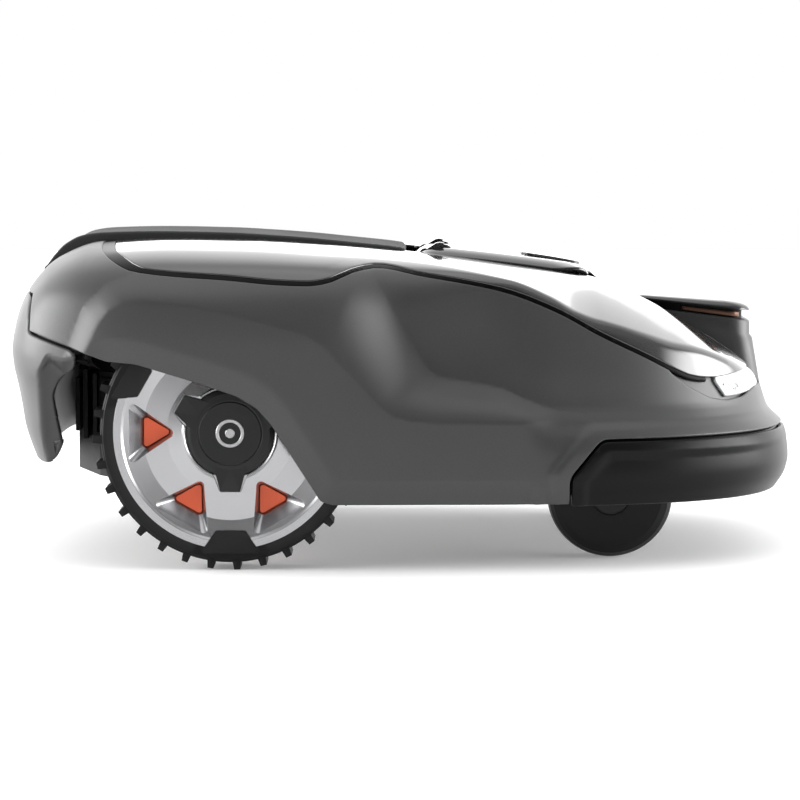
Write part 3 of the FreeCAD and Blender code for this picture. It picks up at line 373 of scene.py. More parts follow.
def even_column(column):
    """Points at even spacing up one column of hits, from the skin's floor."""
    start = np.searchsorted(column[:, 2], SKIN_FLOOR) if column[0, 2] < SKIN_FLOOR else 0
    column = column[max(0, start - 1):]
    run = np.concatenate([[0], np.cumsum(np.linalg.norm(np.diff(column, axis=0), axis=1))])
    first = np.interp(SKIN_FLOOR, column[:20, 2], run[:20])
    even = np.linspace(first, run[-1], ROWS + 1)
    return np.stack([np.interp(even, run, column[:, m]) for m in range(3)], 1)


def make_skin():
    """Rays from the middle plane out to the form, spaced evenly along each column."""
    bx, by = even_outline()
    origin = np.stack([0.8 * bx, 0 * bx, RAY_HEIGHT + 0 * bx], 1)
    out = np.stack([0.2 * bx, by, 0 * bx], 1)
    out /= np.linalg.norm(out, axis=1, keepdims=True)
    tilt = np.linspace(-RAY_DIP, math.pi / 2, 260)
    direction = (out[:, None, :] * np.cos(tilt)[None, :, None]
                 + np.array([0, 0, 1.0]) * np.sin(tilt)[None, :, None])
    grid = settle(np.stack([even_column(column) for column in ray_hits(origin, direction)]))
    grid[0, :, 1] = grid[-1, :, 1] = 0.0
    grid[:, -1, 1] = 0.0
    index = np.arange((COLUMNS + 1) * (ROWS + 1)).reshape(COLUMNS + 1, ROWS + 1)
    faces = np.stack([index[:-1, :-1], index[1:, :-1], index[1:, 1:], index[:-1, 1:]], -1).reshape(-1, 4)
    return Skin(grid.reshape(-1, 3), [list(map(int, f)) for f in faces])


def crease_field(p):
    """Distance from the plate's upper edge, negative on the plate."""
    d = distance(p[:, 0], p[:, 2], CREASE)
    return np.where(inside(p[:, 0], p[:, 2], PLATE_AREA), -d, d)


def hollow_field(p):
    """Distance from the hollow flank's lower edge, positive on the flank."""
    d = distance(p[:, 0], p[:, 2], HOLLOW)
    return np.where(inside(p[:, 0], p[:, 2], FLOOR_AREA), d, -d)


# ------------------------------------------------------------------ meshes
def make_object(name, verts, polys):
    """A smooth-shaded object from points in millimetres, without its unused points."""
    used = sorted({i for f in polys for i in f})
    index = np.full(len(verts), -1)
    index[used] = np.arange(len(used))
    mesh = bpy.data.meshes.new(name)
    mesh.from_pydata([tuple(v) for v in np.asarray(verts, float)[used] * MM], [],
                     [[int(index[i]) for i in f] for f in polys])
    mesh.validate(verbose=False)
    mesh.polygons.foreach_set("use_smooth", [True] * len(mesh.polygons))
    ob = bpy.data.objects.new(name, mesh)
    bpy.context.scene.collection.objects.link(ob)
    return ob


def tidy_normals(ob):
    """Normals outwards, and sharp edges where faces meet steeply."""
    bm = bmesh.new()
    bm.from_mesh(ob.data)
    bmesh.ops.recalc_face_normals(bm, faces=bm.faces)
    for edge in bm.edges:
        edge.smooth = edge.calc_face_angle(0.0) < SHARP_ANGLE
    bm.to_mesh(ob.data)
    bm.free()
    return ob


def close_and_mirror(name, outer, inner, faces, middle):
    """The half panel's two faces joined round the rim, with its mirror image beyond y = 0."""
    n = len(outer)
    edges = {(i, j) for f in faces for i, j in zip(f, f[1:] + f[:1])}
    rim = [(i, j) for i, j in edges if (j, i) not in edges and not (middle[i] and middle[j])]
    polys = [list(f) for f in faces]
    polys += [[i + n for i in reversed(f)] for f in faces]
    polys += [[j, i, i + n, j + n] for i, j in rim]
    verts = np.concatenate([outer, inner])
    both = np.concatenate([middle, middle])
    index = np.where(both, np.arange(2 * n), np.arange(2 * n) + 2 * n)
    polys += [[int(index[i]) for i in reversed(f)] for f in polys]
    return make_object(name, np.concatenate([verts, verts * np.array([1, -1, 1])]), polys)


def clip(skin, field, roll):
    """A copy of the skin where field is positive, with edges added across its rolled border."""
    part = skin.copy()
    value = field(part.array())
    part.faces = [f for f in part.faces if max(value[i] for i in f) > 0]
    part.compact()
    (values,) = part.compact(part.split(field, [0.0], keep_above=0.0))
    for share in (0.12, 0.35, 0.65, 1.0):
        values = part.split(field, [roll * share])
    (values,) = part.compact(values)
    return part, np.array(values)


def panel(name, skin, field, roll, wall, sink=0.0):
    """A moulded panel: the skin where field is positive, with rolled edges and an inner face."""
    part, values = clip(skin, field, roll)
    p = part.array()
    middle = np.abs(p[:, 1]) < 1e-6
    p = settle(p, 2)
    normal = gradient(p)
    p[middle, 1] = 0.0
    normal[middle, 1] = 0.0
    depth = np.clip(values, 0, roll)
    drop = roll - np.sqrt(np.maximum(roll ** 2 - (roll - depth) ** 2, 0))
    outer = p - normal * (drop + sink)[:, None]
    inner = p - normal * (wall + sink)
    outer[middle, 1] = inner[middle, 1] = 0.0
    return close_and_mirror(name, outer, inner, part.faces, middle)


def sweep(name, sections):
    """A closed skin through sections with the same number of points."""
    n = len(sections[0])
    polys = [list(range(n))[::-1], [(len(sections) - 1) * n + i for i in range(n)]]
    for k in range(len(sections) - 1):
        for i in range(n):
            j = (i + 1) % n
            polys.append([k * n + i, k * n + j, (k + 1) * n + j, (k + 1) * n + i])
    verts = [v for section in sections for v in section]
    return tidy_normals(make_object(name, verts, polys))


def lathe(name, profile, centre, steps=96):
    """A profile of (radius, y) points turned about an axis along Y; joined where the radius is 0."""
    cx, cz = centre
    sections = []
    for k in range(steps):
        a = 2 * math.pi * k / steps
        sections.append([(cx + r * math.cos(a), y, cz + r * math.sin(a)) for r, y in profile])
    n = len(profile)
    polys = []
    for k in range(steps):
        for i in range(n - 1):
            m = (k + 1) % steps
            polys.append([k * n + i, k * n + i + 1, m * n + i + 1, m * n + i])
    ob = make_object(name, [v for section in sections for v in section], polys)
    bm = bmesh.new()
    bm.from_mesh(ob.data)
    bmesh.ops.remove_doubles(bm, verts=bm.verts, dist=1e-6)
    bm.to_mesh(ob.data)
    bm.free()
    return tidy_normals(ob)


def joined(name, obs):
    """One object of several."""
    for ob in bpy.context.selected_objects:
        ob.select_set(False)
    for ob in obs:
        ob.select_set(True)
    bpy.context.view_layer.objects.active = obs[0]
    bpy.ops.object.join()
    obs[0].name = name
    return obs[0]


def mirrored(ob, name):
    """The left-hand copy of a right-hand piece."""
    mesh = ob.data.copy()
    co = np.empty(len(mesh.vertices) * 3)
    mesh.vertices.foreach_get("co", co)
    co[1::3] *= -1
    mesh.vertices.foreach_set("co", co)
    mesh.flip_normals()
    other = bpy.data.objects.new(name, mesh)
    bpy.context.scene.collection.objects.link(other)
    return other


# ------------------------------------------------------------------ fields of the panels, in mm
# each panel's field is positive where the panel is, and grows with the distance from its edge
SPINE_HALF = 66.0
SPINE_FRONT = 12.0              # the cover makes room for the spine up to here
HATCH = (4.0, 158.5, 65.0)      # back, front and half-width of the hatch hole
NOSE_SLOT = (189.0, 46.0)       # back and half-width of the slot for the charging nose
TIP_LINE = 92.0                 # the fine gap between the cover and its end piece beside the nose
LAMP_INNER, LENS_INNER = 78.0, 96.0     # distance from the middle to the lamp hole and to the lens
BAR_INNER, BAR_OUTER = 84.0, 89.5       # the bar beside the lens; the lamp board starts with it
COVER = [(x, float(SEAM(x))) for x in range(-236, 341, 8)] + [(345, 330), (-236, 330)]
LAMP_HOLE = [(204, 160), (206, 147), (221, 135.5), (238, 126.5), (252, 123.5), (266, 124.5), (279, 130),
             (345, 137), (345, 160)]
LENS = [(243.5, 150), (243.5, 138.6), (252.5, 126), (262, 126.2), (345, 134.5), (345, 150)]
REAR_PANEL = rounded_points([(-400, 76), (-271, 76), (-263, 80), (-257.5, 92), (-262, 114), (-264.5, 130),
                             (-259, 142), (-247, 150), (-244.5, 158), (-248.5, 165.3), (-284.8, 176.4),
                             (-285, 204), (-400, 204)], 4)


def seam_gap(p):
    """Half of the shut line between cover and shell: wider at its rear start."""
    return 1.5 + 1.5 * (1 - smooth(-212, -192, p[:, 0])) + 0.3 * (1 - smooth(-100, 20, p[:, 0]))


def cover_side(p):
    """Distance from the cover's shut line, positive on the cover."""
    return signed(p[:, 0], p[:, 2], COVER)


def rounded_box(x, y, x0, x1, half, corner=10.0):
    """Distance from the edge of a rounded rectangle in plan, positive inside."""
    qx = np.maximum(x0 - x, x - x1) + corner
    qy = np.abs(y) - half + corner
    far = np.hypot(np.maximum(qx, 0), np.maximum(qy, 0)) + np.minimum(np.maximum(qx, qy), 0)
    return corner - far


def hatch_side(p):
    """Distance from the hatch hole, negative in the hole."""
    return -rounded_box(p[:, 0], p[:, 1], *HATCH)


def lamp_side(p, outline, inner):
    """Distance from a lamp outline that also stops short of the middle, positive in it."""
    return np.minimum(signed(p[:, 0], p[:, 2], outline), np.abs(p[:, 1]) - inner)


def cover_field(p):
    x, y = p[:, 0], np.abs(p[:, 1])
    f = np.minimum(cover_side(p) - seam_gap(p), hatch_side(p))
    f = np.minimum(f, np.where(x < SPINE_FRONT, y - SPINE_HALF - 1.2, 1e3))
    f = np.minimum(f, np.maximum(NOSE_SLOT[0] - x, y - NOSE_SLOT[1]))
    return np.minimum(f, np.where(x > 240, np.abs(y - TIP_LINE) - 0.9, 1e3))


def shell_field(p):
    x, z = p[:, 0], p[:, 2]
    f = np.minimum(-cover_side(p) - seam_gap(p), z - SKIRT_Z)
    f = np.minimum(f, -signed(x, z, BUMPER))
    f = np.minimum(f, -signed(x, z, REAR_CUT))
    return np.minimum(f, -lamp_side(p, LAMP_HOLE, LAMP_INNER))


def bumper_field(p):
    return np.minimum(signed(p[:, 0], p[:, 2], BUMPER) - 1.8, p[:, 2] - 47.5)


def rear_field(p):
    return signed(p[:, 0], p[:, 2], REAR_PANEL)


def trim_field(p):
    return np.minimum(seam_gap(p) + 0.6 - np.abs(cover_side(p)), 236.0 - p[:, 0])


def liner_field(p):
    """Strips behind the shut lines, so that no gap shows the inside; build_shell finishes them near-black, a
    painted shade in the gaps.
    """
    x, z = p[:, 0], p[:, 2]
    f = 8.0 - np.abs(cover_side(p))
    f = np.maximum(f, 7.0 - np.where(x > 100, distance(x, z, BUMPER_LINE), 1e3))
    f = np.maximum(f, np.where(x < -235, 8.0 - distance(x, z, REAR_LINE), -1.0))
    f = np.maximum(f, np.where(x > 180, 9.0 - np.abs(np.abs(p[:, 1]) - TIP_LINE), -1.0))
    f = np.minimum(f, np.maximum(NOSE_SLOT[0] - 12 - x, np.abs(p[:, 1]) - NOSE_SLOT[1]))
    return np.minimum(np.minimum(f, hatch_side(p)), z - SKIRT_Z - 4)


def ledge_field(p):
    return lamp_side(p, LAMP_HOLE, LAMP_INNER) + 5.0


def lens_field(p):
    return lamp_side(p, LENS, LENS_INNER)


def board_field(p):
    return lamp_side(p, LENS, BAR_INNER) - 2.5


def lamp_bar_field(p):
    return np.minimum(lamp_side(p, LENS, BAR_INNER), BAR_OUTER - np.abs(p[:, 1]))


def lamp_lines_field(p):
    """Two raised bars inside the lens."""
    x, z, y = p[:, 0], p[:, 2], np.abs(p[:, 1])
    upper = 0.9 - np.abs(z - 135.2 + 0.02 * (x - 255))
    lower = 0.9 - np.abs(z - 131.4 - 0.12 * (x - 262))
    upper = np.minimum(upper, np.minimum(x - 249, 263 - x))
    lower = np.minimum(lower, np.minimum(x - 258, y - 99))
    return np.minimum(np.maximum(upper, lower), lens_field(p) - 1.5)


# ------------------------------------------------------------------ the shell and what it carries
def weld(skin, reach):
    """The skin without the slivers that its cut lines leave beside older edges."""
    bm = bmesh.new()
    verts = [bm.verts.new(v) for v in skin.array() * MM]
    for face in skin.faces:
        bm.faces.new([verts[i] for i in face])
    bmesh.ops.remove_doubles(bm, verts=bm.verts, dist=reach * MM)
    bm.verts.index_update()
    points = [tuple(v.co / MM) for v in bm.verts]
    points = [(x, 0.0 if abs(y) < reach else y, z) for x, y, z in points]
    faces = [[v.index for v in face.verts] for face in bm.faces]
    bm.free()
    return Skin(points, faces)


WELD_REACH = 0.45               # vertices nearer to each other than this become one


def build_skin():
    """The skin with edges along the plate's and the flank's borders, so that both stay crisp."""
    skin = make_skin()
    skin.split(crease_field, [-2.0, 0.0, 2.0])
    skin.split(hollow_field, [-3.0, 0.0, 3.0])
    return weld(skin, WELD_REACH)


SPINE_TOP = curve([(-284, 221), (-275, 231), (-266, 240), (-252, 246.8), (-236, 248.9), (-195, 249.9),
                   (-138, 248.9), (-106, 247.2), (-73, 244.8), (-41, 241.6), (-8, 238.2), (5, 236.6)])


def spine_panel():
    """The raised strip down the middle of the back, with soft long edges and a shallow dish."""
    half, roll = SPINE_HALF, 2.2
    across = [(-half, -16), (-half, -roll)]
    across += [(-half + roll * (1 - math.cos(a)), -roll * (1 - math.sin(a)))
               for a in np.linspace(0.2, math.pi / 2, 5)]
    across += [(y, -1.2 * (1 - (y / 60.0) ** 2)) for y in np.linspace(-56, 56, 15)]
    across += [(-y, z) for y, z in reversed(across[:7])]
    sections = []
    for x in np.concatenate([np.linspace(-283, -240, 18), np.linspace(-236, 1, 40), [3.5, 5.0]]):
        drop = 0.0 if x < 2 else (0.8 if x < 4 else 3.0)
        sections.append([(x, y, SPINE_TOP(x) + z - drop) for y, z in across])
    return sweep("spine_panel", sections)


def plan_loop(x0, x1, half, back, front, steps=10):
    """A rounded rectangle in plan, with its own corner radii at the back and the front."""
    loop = []
    for cx, cy, r, start in [(x1 - front, half - front, front, 0), (x0 + back, half - back, back, 90),
                             (x0 + back, -half + back, back, 180), (x1 - front, -half + front, front, 270)]:
        for a in np.radians(np.linspace(start, start + 90, steps)):
            loop.append((cx + r * math.cos(a), cy + r * math.sin(a)))
    return loop


def slab(name, levels, back, front):
    """A block through rounded-rectangle levels: (x0, x1, half, height as a function of x)."""
    sections = []
    for x0, x1, half, height in levels:
        sections.append([(x, y, height(x)) for x, y in plan_loop(x0, x1, half, back, front)])
    return sweep(name, sections)


NOSE_BACK, NOSE_HALF, NOSE_CORNER = 190.0, 44.0, 19.0
NOSE_SLOPE, CAP_SLOPE = -0.128, -0.118  # fall of the block's top and of the cap's underside


def tilted(z, slope):
    """Height as a function of x: z at x = 204, falling by the slope."""
    return lambda x: z + slope * (x - 204.0)


def nose_pieces():
    """The charging nose: a block, a slot with copper strips round a core, and a cap over it."""
    levels = []
    for z, front in [(106, 294.5), (116, 293), (127, 290.6), (145, 287.6), (163, 284.6)]:
        levels.append((NOSE_BACK, front, NOSE_HALF, tilted(z, 0.0)))
    for z, inset in [(176, 0.0), (185.4, 0.0), (186.9, 0.5), (187.6, 1.8)]:
        levels.append((NOSE_BACK + inset, 282.3 - inset, NOSE_HALF - inset, tilted(z, NOSE_SLOPE)))
    block = slab("nose_block", levels, 3.0, NOSE_CORNER)
    core = slab("nose_core", [(NOSE_BACK + 4, 276, NOSE_HALF - 5.5, tilted(186.5, NOSE_SLOPE)),
                              (NOSE_BACK + 4, 276, NOSE_HALF - 5.5, tilted(195.0, CAP_SLOPE))], 3.0, 15.0)
    cap = []
    for z, inset, slope in [(193.6, 2.2, CAP_SLOPE), (193.7, 0.6, CAP_SLOPE), (194.2, 0.0, CAP_SLOPE),
                            (195.0, 0.2, -0.108), (196.0, 1.4, -0.096), (196.8, 3.6, -0.084),
                            (197.3, 7.5, -0.07), (197.4, 16.0, -0.062)]:
        cap.append((NOSE_BACK + inset * 0.4, 282.6 - inset * 1.25, NOSE_HALF + 0.6 - inset, tilted(z, slope)))
    lid = slab("nose_cap", cap, 3.0, NOSE_CORNER)
    strips = [(226, 273, NOSE_HALF - inset, tilted(z, slope))
              for z, inset, slope in [(188.6, 3.4, -0.122), (189.0, 3.2, -0.122),
                                      (191.4, 3.2, CAP_SLOPE), (191.8, 3.4, CAP_SLOPE)]]
    strip = slab("nose_strips", strips, 2.0, 8.0)
    return block, core, lid, strip


LID = (12.0, 150.5, 63.0)       # back, front and half-width of the hatch lid
BUTTON = (97.2, 145.8, 26.8)    # the same of the hole for the stop button
LID_BEVEL, LID_ROLL = 14.0, 1.2     # width of the lid's bevel and radius of its edge
LID_TOP = curve([(12, 235.4), (20, 236.8), (33, 237.2), (57, 235.2), (98, 230.4), (130, 225.8),
                 (143, 223), (148, 220.8), (151, 218)])


def lid_panel():
    """The hatch lid: a crowned plate with a broad bevel round it and a hole for the button."""
    xs, ys = np.linspace(10, 162, 96), np.linspace(0, -64, 42)
    grid = [(x, y, 0.0) for x in xs for y in ys]
    n = len(ys)
    faces = [[i * n + j, i * n + j + 1, (i + 1) * n + j + 1, (i + 1) * n + j]
             for i in range(len(xs) - 1) for j in range(n - 1)]
    plate = Skin(grid, faces)

    def edge(p):
        return rounded_box(p[:, 0], p[:, 1], *LID, 15.0)

    def field(p):
        return np.minimum(edge(p), -rounded_box(p[:, 0], p[:, 1], *BUTTON, 9.6))

    part, _ = clip(plate, field, LID_ROLL)
    part.split(edge, [LID_BEVEL])
    p = part.array()
    inward = edge(p)
    rolled = np.clip(field(p), 0, LID_ROLL)
    flat = 1 - 0.75 * smooth(118, 150, p[:, 0])
    z = LID_TOP(p[:, 0]) - 4.6 * flat * np.clip(1 - inward / LID_BEVEL, 0, 1) ** 1.5
    z = z - (LID_ROLL - np.sqrt(np.maximum(LID_ROLL ** 2 - (LID_ROLL - rolled) ** 2, 0)))
    z = z - 2.0 * flat * (p[:, 1] / 62.0) ** 2
    outer = np.stack([p[:, 0], p[:, 1], z], 1)
    inner = outer - np.array([0, 0, 3.2])
    return close_and_mirror("hatch_plate", outer, inner, part.faces, np.abs(p[:, 1]) < 1e-6)


def hinge_hoods():
    """A leaning tongue and a low hood over the hatch's hinge at each side."""
    outlines = [[(14, 230.5), (17, 229), (21, 229.5), (34.5, 237.2), (35.5, 239.6), (32, 240.4), (29, 239.8)],
                [(31, 236), (34, 238.8), (38.5, 237.8), (45, 233.2), (45, 231.5), (38, 231.5)]]
    made = []
    for k, (outline, y) in enumerate(zip(outlines, (-44, -36))):
        near, far = [(x, y - 6.0, z) for x, z in outline], [(x, y + 6.0, z) for x, z in outline]
        right = sweep("hinge_hood_%d" % k, [near, far])
        made += [right, mirrored(right, "hinge_hood_left_%d" % k)]
    return joined("hinge_hoods", made)


HUB_FACE_Y = -239.62            # outer face of the right hub cap


def wheel_badges():
    """A plain ring and disc on each hub cap."""
    back, shoulder, face = HUB_FACE_Y + 0.4, HUB_FACE_Y - 0.1, HUB_FACE_Y - 0.45
    ring = lathe("badge", [(8.2, back), (8.2, shoulder), (8.6, face), (10.3, face), (10.7, shoulder),
                           (10.7, back)], (WHEEL_X, WHEEL_Z))
    dot = lathe("badge_dot", [(0, face), (3.2, face), (3.6, shoulder), (3.6, back)], (WHEEL_X, WHEEL_Z))
    right = joined("hub_badge_right", [ring, dot])
    return right, mirrored(right, "hub_badge_left")


def bay_ribs():
    """Moulded ribs on the tub's rear corner, seen between rear leg and wheel."""
    made = []
    for x, z0, z1, y in [(-250, 98, 139, -150), (-243.5, 92, 146, -154), (-236, 96, 143, -158)]:
        loop = [(x - 1.6, y), (x + 1.6, y - 1.0), (x + 1.6, -120), (x - 1.6, -120)]
        made.append(sweep("rib", [[(px, py, z) for px, py in loop] for z in (z0, z1)]))
    right = joined("bay_ribs_right", made)
    return right, mirrored(right, "bay_ribs_left")


# ------------------------------------------------------------------ materials
def math_node(nodes, links, operation, *inputs):
    """A Math node on numbers or sockets; gives its output socket."""
    node = nodes.new("ShaderNodeMath")
    node.operation = operation
    for i, value in enumerate(inputs):
        if isinstance(value, (int, float)):
            node.inputs[i].default_value = value
        else:
            links.new(value, node.inputs[i])
    return node.outputs[0]


def noise_node(nodes, links, size, detail=2.0):
    """Noise with features of about this size in millimetres, fixed to the object."""
    noise = nodes.new("ShaderNodeTexNoise")
    noise.inputs["Scale"].default_value = 1.0 / (size * MM)
    noise.inputs["Detail"].default_value = detail
    coord = nodes.new("ShaderNodeTexCoord")
    links.new(coord.outputs["Object"], noise.inputs["Vector"])
    return noise.outputs["Fac"]


def mix_colors(nodes, links, factor, first, second):
    """A colour between two, each a colour or a socket; gives the output socket."""
    mix = nodes.new("ShaderNodeMix")
    mix.data_type = "RGBA"
    for name, value in (("A", first), ("B", second)):
        if isinstance(value, tuple):
            mix.inputs[name].default_value = (*value, 1)
        else:
            links.new(value, mix.inputs[name])
    links.new(factor, mix.inputs["Factor"])
    return mix.outputs["Result"]


def finish(name, color, roughness, metallic=0.0, grain=0.0, grain_mm=0.7, speckle=0.0, smudge=0.06,
           coat=0.0, spec=0.5, soften=0.0, painted_edge_highlight=0.0, ior=None):
    """Plastic, rubber or metal with a fine grain, uneven gloss and convex edges lightened as a painted
    highlight.
    """
    mat = bpy.data.materials.new(name)
    mat.use_nodes = True
    nodes, links = mat.node_tree.nodes, mat.node_tree.links
    bsdf = nodes["Principled BSDF"]
    bsdf.inputs["Base Color"].default_value = (*color, 1)
    bsdf.inputs["Roughness"].default_value = roughness
    bsdf.inputs["Metallic"].default_value = metallic
    bsdf.inputs["Coat Weight"].default_value = coat
    bsdf.inputs["Coat Roughness"].default_value = 0.04
    bsdf.inputs["Specular IOR Level"].default_value = spec
    if ior:
        bsdf.inputs["IOR"].default_value = ior
    cloud = noise_node(nodes, links, 38.0, 3.0)
    rough = nodes.new("ShaderNodeMapRange")
    rough.inputs["From Min"].default_value = 0.3
    rough.inputs["From Max"].default_value = 0.7
    rough.inputs["To Min"].default_value = max(0.02, roughness - smudge * roughness)
    rough.inputs["To Max"].default_value = roughness + smudge * roughness
    links.new(cloud, rough.inputs["Value"])
    links.new(rough.outputs["Result"], bsdf.inputs["Roughness"])
    base = None
    if speckle:
        fine = noise_node(nodes, links, grain_mm * 1.3, 1.0)
        dark = tuple(c * (1 - speckle) for c in color)
        light = tuple(min(1, c * (1 + speckle)) for c in color)
        base = mix_colors(nodes, links, fine, dark, light)
    # convex edges, found by their pointiness, are lightened towards a paler colour: a painted highlight
    if painted_edge_highlight:
        geometry = nodes.new("ShaderNodeNewGeometry")
        edge_highlight_mask = math_node(nodes, links, "MULTIPLY_ADD", geometry.outputs["Pointiness"], 14.0, -7.35)
        edge_highlight_mask = math_node(nodes, links, "MULTIPLY", math_node(nodes, links, "MINIMUM", edge_highlight_mask, 1.0), painted_edge_highlight)
        edge_highlight_mask = math_node(nodes, links, "MAXIMUM", edge_highlight_mask, 0.0)
        highlight_color = tuple(min(1, c * 2.2 + 0.02) for c in color)
        base = mix_colors(nodes, links, edge_highlight_mask, base or color, highlight_color)
    if base:
        links.new(base, bsdf.inputs["Base Color"])
    normal = None
    if soften:
        bevel = nodes.new("ShaderNodeBevel")
        bevel.samples = 4
        bevel.inputs["Radius"].default_value = soften * MM
        normal = bevel.outputs["Normal"]
    if grain:
        bump = nodes.new("ShaderNodeBump")
        bump.inputs["Strength"].default_value = grain
        bump.inputs["Distance"].default_value = 0.1 * MM
        links.new(noise_node(nodes, links, grain_mm), bump.inputs["Height"])
        if normal:
            links.new(normal, bump.inputs["Normal"])
        normal = bump.outputs["Normal"]
    if normal:
        links.new(normal, bsdf.inputs["Normal"])
    return mat


def make_materials():
    """Every finish by name."""
    # the plastics get a painted highlight on their convex edges through finish()
    plastic = dict(grain=0.35, speckle=0.18, painted_edge_highlight=0.25)
    looks = {
        "shell_grey": dict(color=(0.042, 0.042, 0.043), roughness=0.38, spec=0.45, **plastic),
        "spine_grey": dict(color=(0.045, 0.045, 0.046), roughness=0.65, spec=0.1, grain=0.4, speckle=0.2),
        "cover_gloss": dict(color=(0.018, 0.018, 0.019), roughness=0.10, coat=0.6, ior=1.6, speckle=0.05),
        "seal_black": dict(color=(0.003, 0.003, 0.003), roughness=0.30, spec=0.06, speckle=0.1),
        "bumper_black": dict(color=(0.0032, 0.0032, 0.0035), roughness=0.32, spec=0.14, **plastic),
        "nose_black": dict(color=(0.030, 0.030, 0.031), roughness=0.36, spec=0.45, **plastic),
        "cap_gloss": dict(color=(0.012, 0.012, 0.012), roughness=0.16, coat=0.3, speckle=0.05),
        "contact_copper": dict(color=(0.12, 0.065, 0.045), roughness=0.42, metallic=0.9, speckle=0.12),
        "lens_clear": dict(color=(0.40, 0.41, 0.42), roughness=0.12, coat=0.4, speckle=0.02),
        "circuit_board": dict(color=(0.015, 0.10, 0.045), roughness=0.4, speckle=0.2),
        "chassis_black": dict(color=(0.007, 0.007, 0.0075), roughness=0.5, spec=0.12, soften=0.5, **plastic),
        "console_grey": dict(color=(0.035, 0.035, 0.036), roughness=0.5, soften=0.4, **plastic),
        "display_glass": dict(color=(0.012, 0.02, 0.02), roughness=0.06, coat=0.5, speckle=0.1),
        "battery_grey": dict(color=(0.05, 0.06, 0.08), roughness=0.4, soften=0.4, **plastic),
        "motor_metal": dict(color=(0.42, 0.42, 0.43), roughness=0.33, metallic=1.0, speckle=0.08, soften=0.4),
        "screw_steel": dict(color=(0.5, 0.5, 0.52), roughness=0.28, metallic=1.0, speckle=0.08),
        "button_gloss": dict(color=(0.02, 0.02, 0.021), roughness=0.14, coat=0.5, speckle=0.05),
        "key_grey": dict(color=(0.13, 0.13, 0.14), roughness=0.6, grain=0.3, speckle=0.15),
        "knob_orange": dict(color=(0.72, 0.10, 0.03), roughness=0.4, grain=0.2, speckle=0.1, soften=0.4),
        "disc_black": dict(color=(0.014, 0.014, 0.015), roughness=0.48, soften=0.4, **plastic),
        "blade_steel": dict(color=(0.58, 0.58, 0.6), roughness=0.24, metallic=1.0, speckle=0.1),
        # the tyre gets a stronger painted highlight on its convex edges
        "tyre_black": dict(color=(0.0035, 0.0035, 0.004), roughness=0.5, spec=0.22, soften=0.5, grain=0.5,
                           grain_mm=0.9, speckle=0.25, painted_edge_highlight=0.4),
        "rim_silver": dict(color=(0.40, 0.40, 0.41), roughness=0.24, metallic=0.92, soften=0.5, grain=0.08,
                           grain_mm=0.4, speckle=0.05),
        "accent_orange": dict(color=(0.82, 0.115, 0.035), roughness=0.38, soften=0.6, grain=0.1,
                              speckle=0.06),
        "cap_black": dict(color=(0.010, 0.010, 0.0105), roughness=0.40, spec=0.3, soften=0.35, **plastic),
        "caster_black": dict(color=(0.005, 0.005, 0.0055), roughness=0.45, spec=0.25, soften=0.5,
                             **plastic),
        "badge_silver": dict(color=(0.45, 0.45, 0.46), roughness=0.35, metallic=0.9, speckle=0.06),
    }
    return {name: finish(name, **look) for name, look in looks.items()}


# ------------------------------------------------------------------ stage, light and camera
FLOOR_SIZE, FLOOR_DROP, FLOOR_GLOW = 12.0, 0.0002, 0.20     # metres, metres and emission


def build_stage():
    """A pale floor just under the wheels."""
    bpy.ops.mesh.primitive_plane_add(size=FLOOR_SIZE, location=(0, 0, -FLOOR_DROP))
    floor = bpy.context.object
    floor.name = "studio_floor"
    mat = finish("floor_white", (0.88, 0.88, 0.88), 0.7, speckle=0.02, grain_mm=2.0)
    glow = mat.node_tree.nodes["Principled BSDF"]
    glow.inputs["Emission Color"].default_value = (1, 1, 1, 1)
    glow.inputs["Emission Strength"].default_value = FLOOR_GLOW
    floor.data.materials.append(mat)


def studio_world():
    """A white studio: dim on the -Y side, a bright back wall and bright strips at the two ends."""
    world = bpy.data.worlds.new("studio")
    bpy.context.scene.world = world
    world.use_nodes = True
    nodes, links = world.node_tree.nodes, world.node_tree.links
    nodes.clear()
    coord = nodes.new("ShaderNodeTexCoord")
    split = nodes.new("ShaderNodeSeparateXYZ")
    links.new(coord.outputs["Generated"], split.inputs[0])
    x, y, z = split.outputs["X"], split.outputs["Y"], split.outputs["Z"]

    def between(value, low, high, at_low, at_high):
        ramp = nodes.new("ShaderNodeMapRange")
        ramp.interpolation_type = "SMOOTHSTEP"
        ramp.inputs["From Min"].default_value = low
        ramp.inputs["From Max"].default_value = high
        ramp.inputs["To Min"].default_value = at_low
        ramp.inputs["To Max"].default_value = at_high
        links.new(value, ramp.inputs["Value"])
        return ramp.outputs["Result"]

    def product(a, b):
        return math_node(nodes, links, "MULTIPLY", a, b)

    high = math_node(nodes, links, "MAXIMUM", z, 0.0)
    lean = math_node(nodes, links, "MULTIPLY_ADD", high, 0.35, y)
    parts = [between(lean, -0.80, -0.30, 0.06, 0.62),
             product(between(y, -0.2, 0.3, 0.0, 1.3), between(z, 0.95, 0.6, 0.0, 1.0)),
             between(z, 0.80, 0.97, 0.0, 1.0),
             product(between(x, -0.70, -0.93, 0.0, 6.0), between(z, 0.75, 0.35, 0.0, 1.0)),
             product(between(x, 0.82, 0.97, 0.0, 9.0), between(z, 0.75, 0.35, 0.0, 1.0))]
    total = parts[0]
    for part in parts[1:]:
        total = math_node(nodes, links, "ADD", total, part)
    studio = nodes.new("ShaderNodeBackground")
    links.new(total, studio.inputs["Strength"])
    studio.inputs["Color"].default_value = (1, 1, 1, 1)
    seen = nodes.new("ShaderNodeBackground")
    seen.inputs["Color"].default_value = (1, 1, 1, 1)
    path = nodes.new("ShaderNodeLightPath")
    mix = nodes.new("ShaderNodeMixShader")
    out = nodes.new("ShaderNodeOutputWorld")
    links.new(path.outputs["Is Camera Ray"], mix.inputs[0])
    links.new(studio.outputs[0], mix.inputs[1])
    links.new(seen.outputs[0], mix.inputs[2])
    links.new(mix.outputs[0], out.inputs["Surface"])


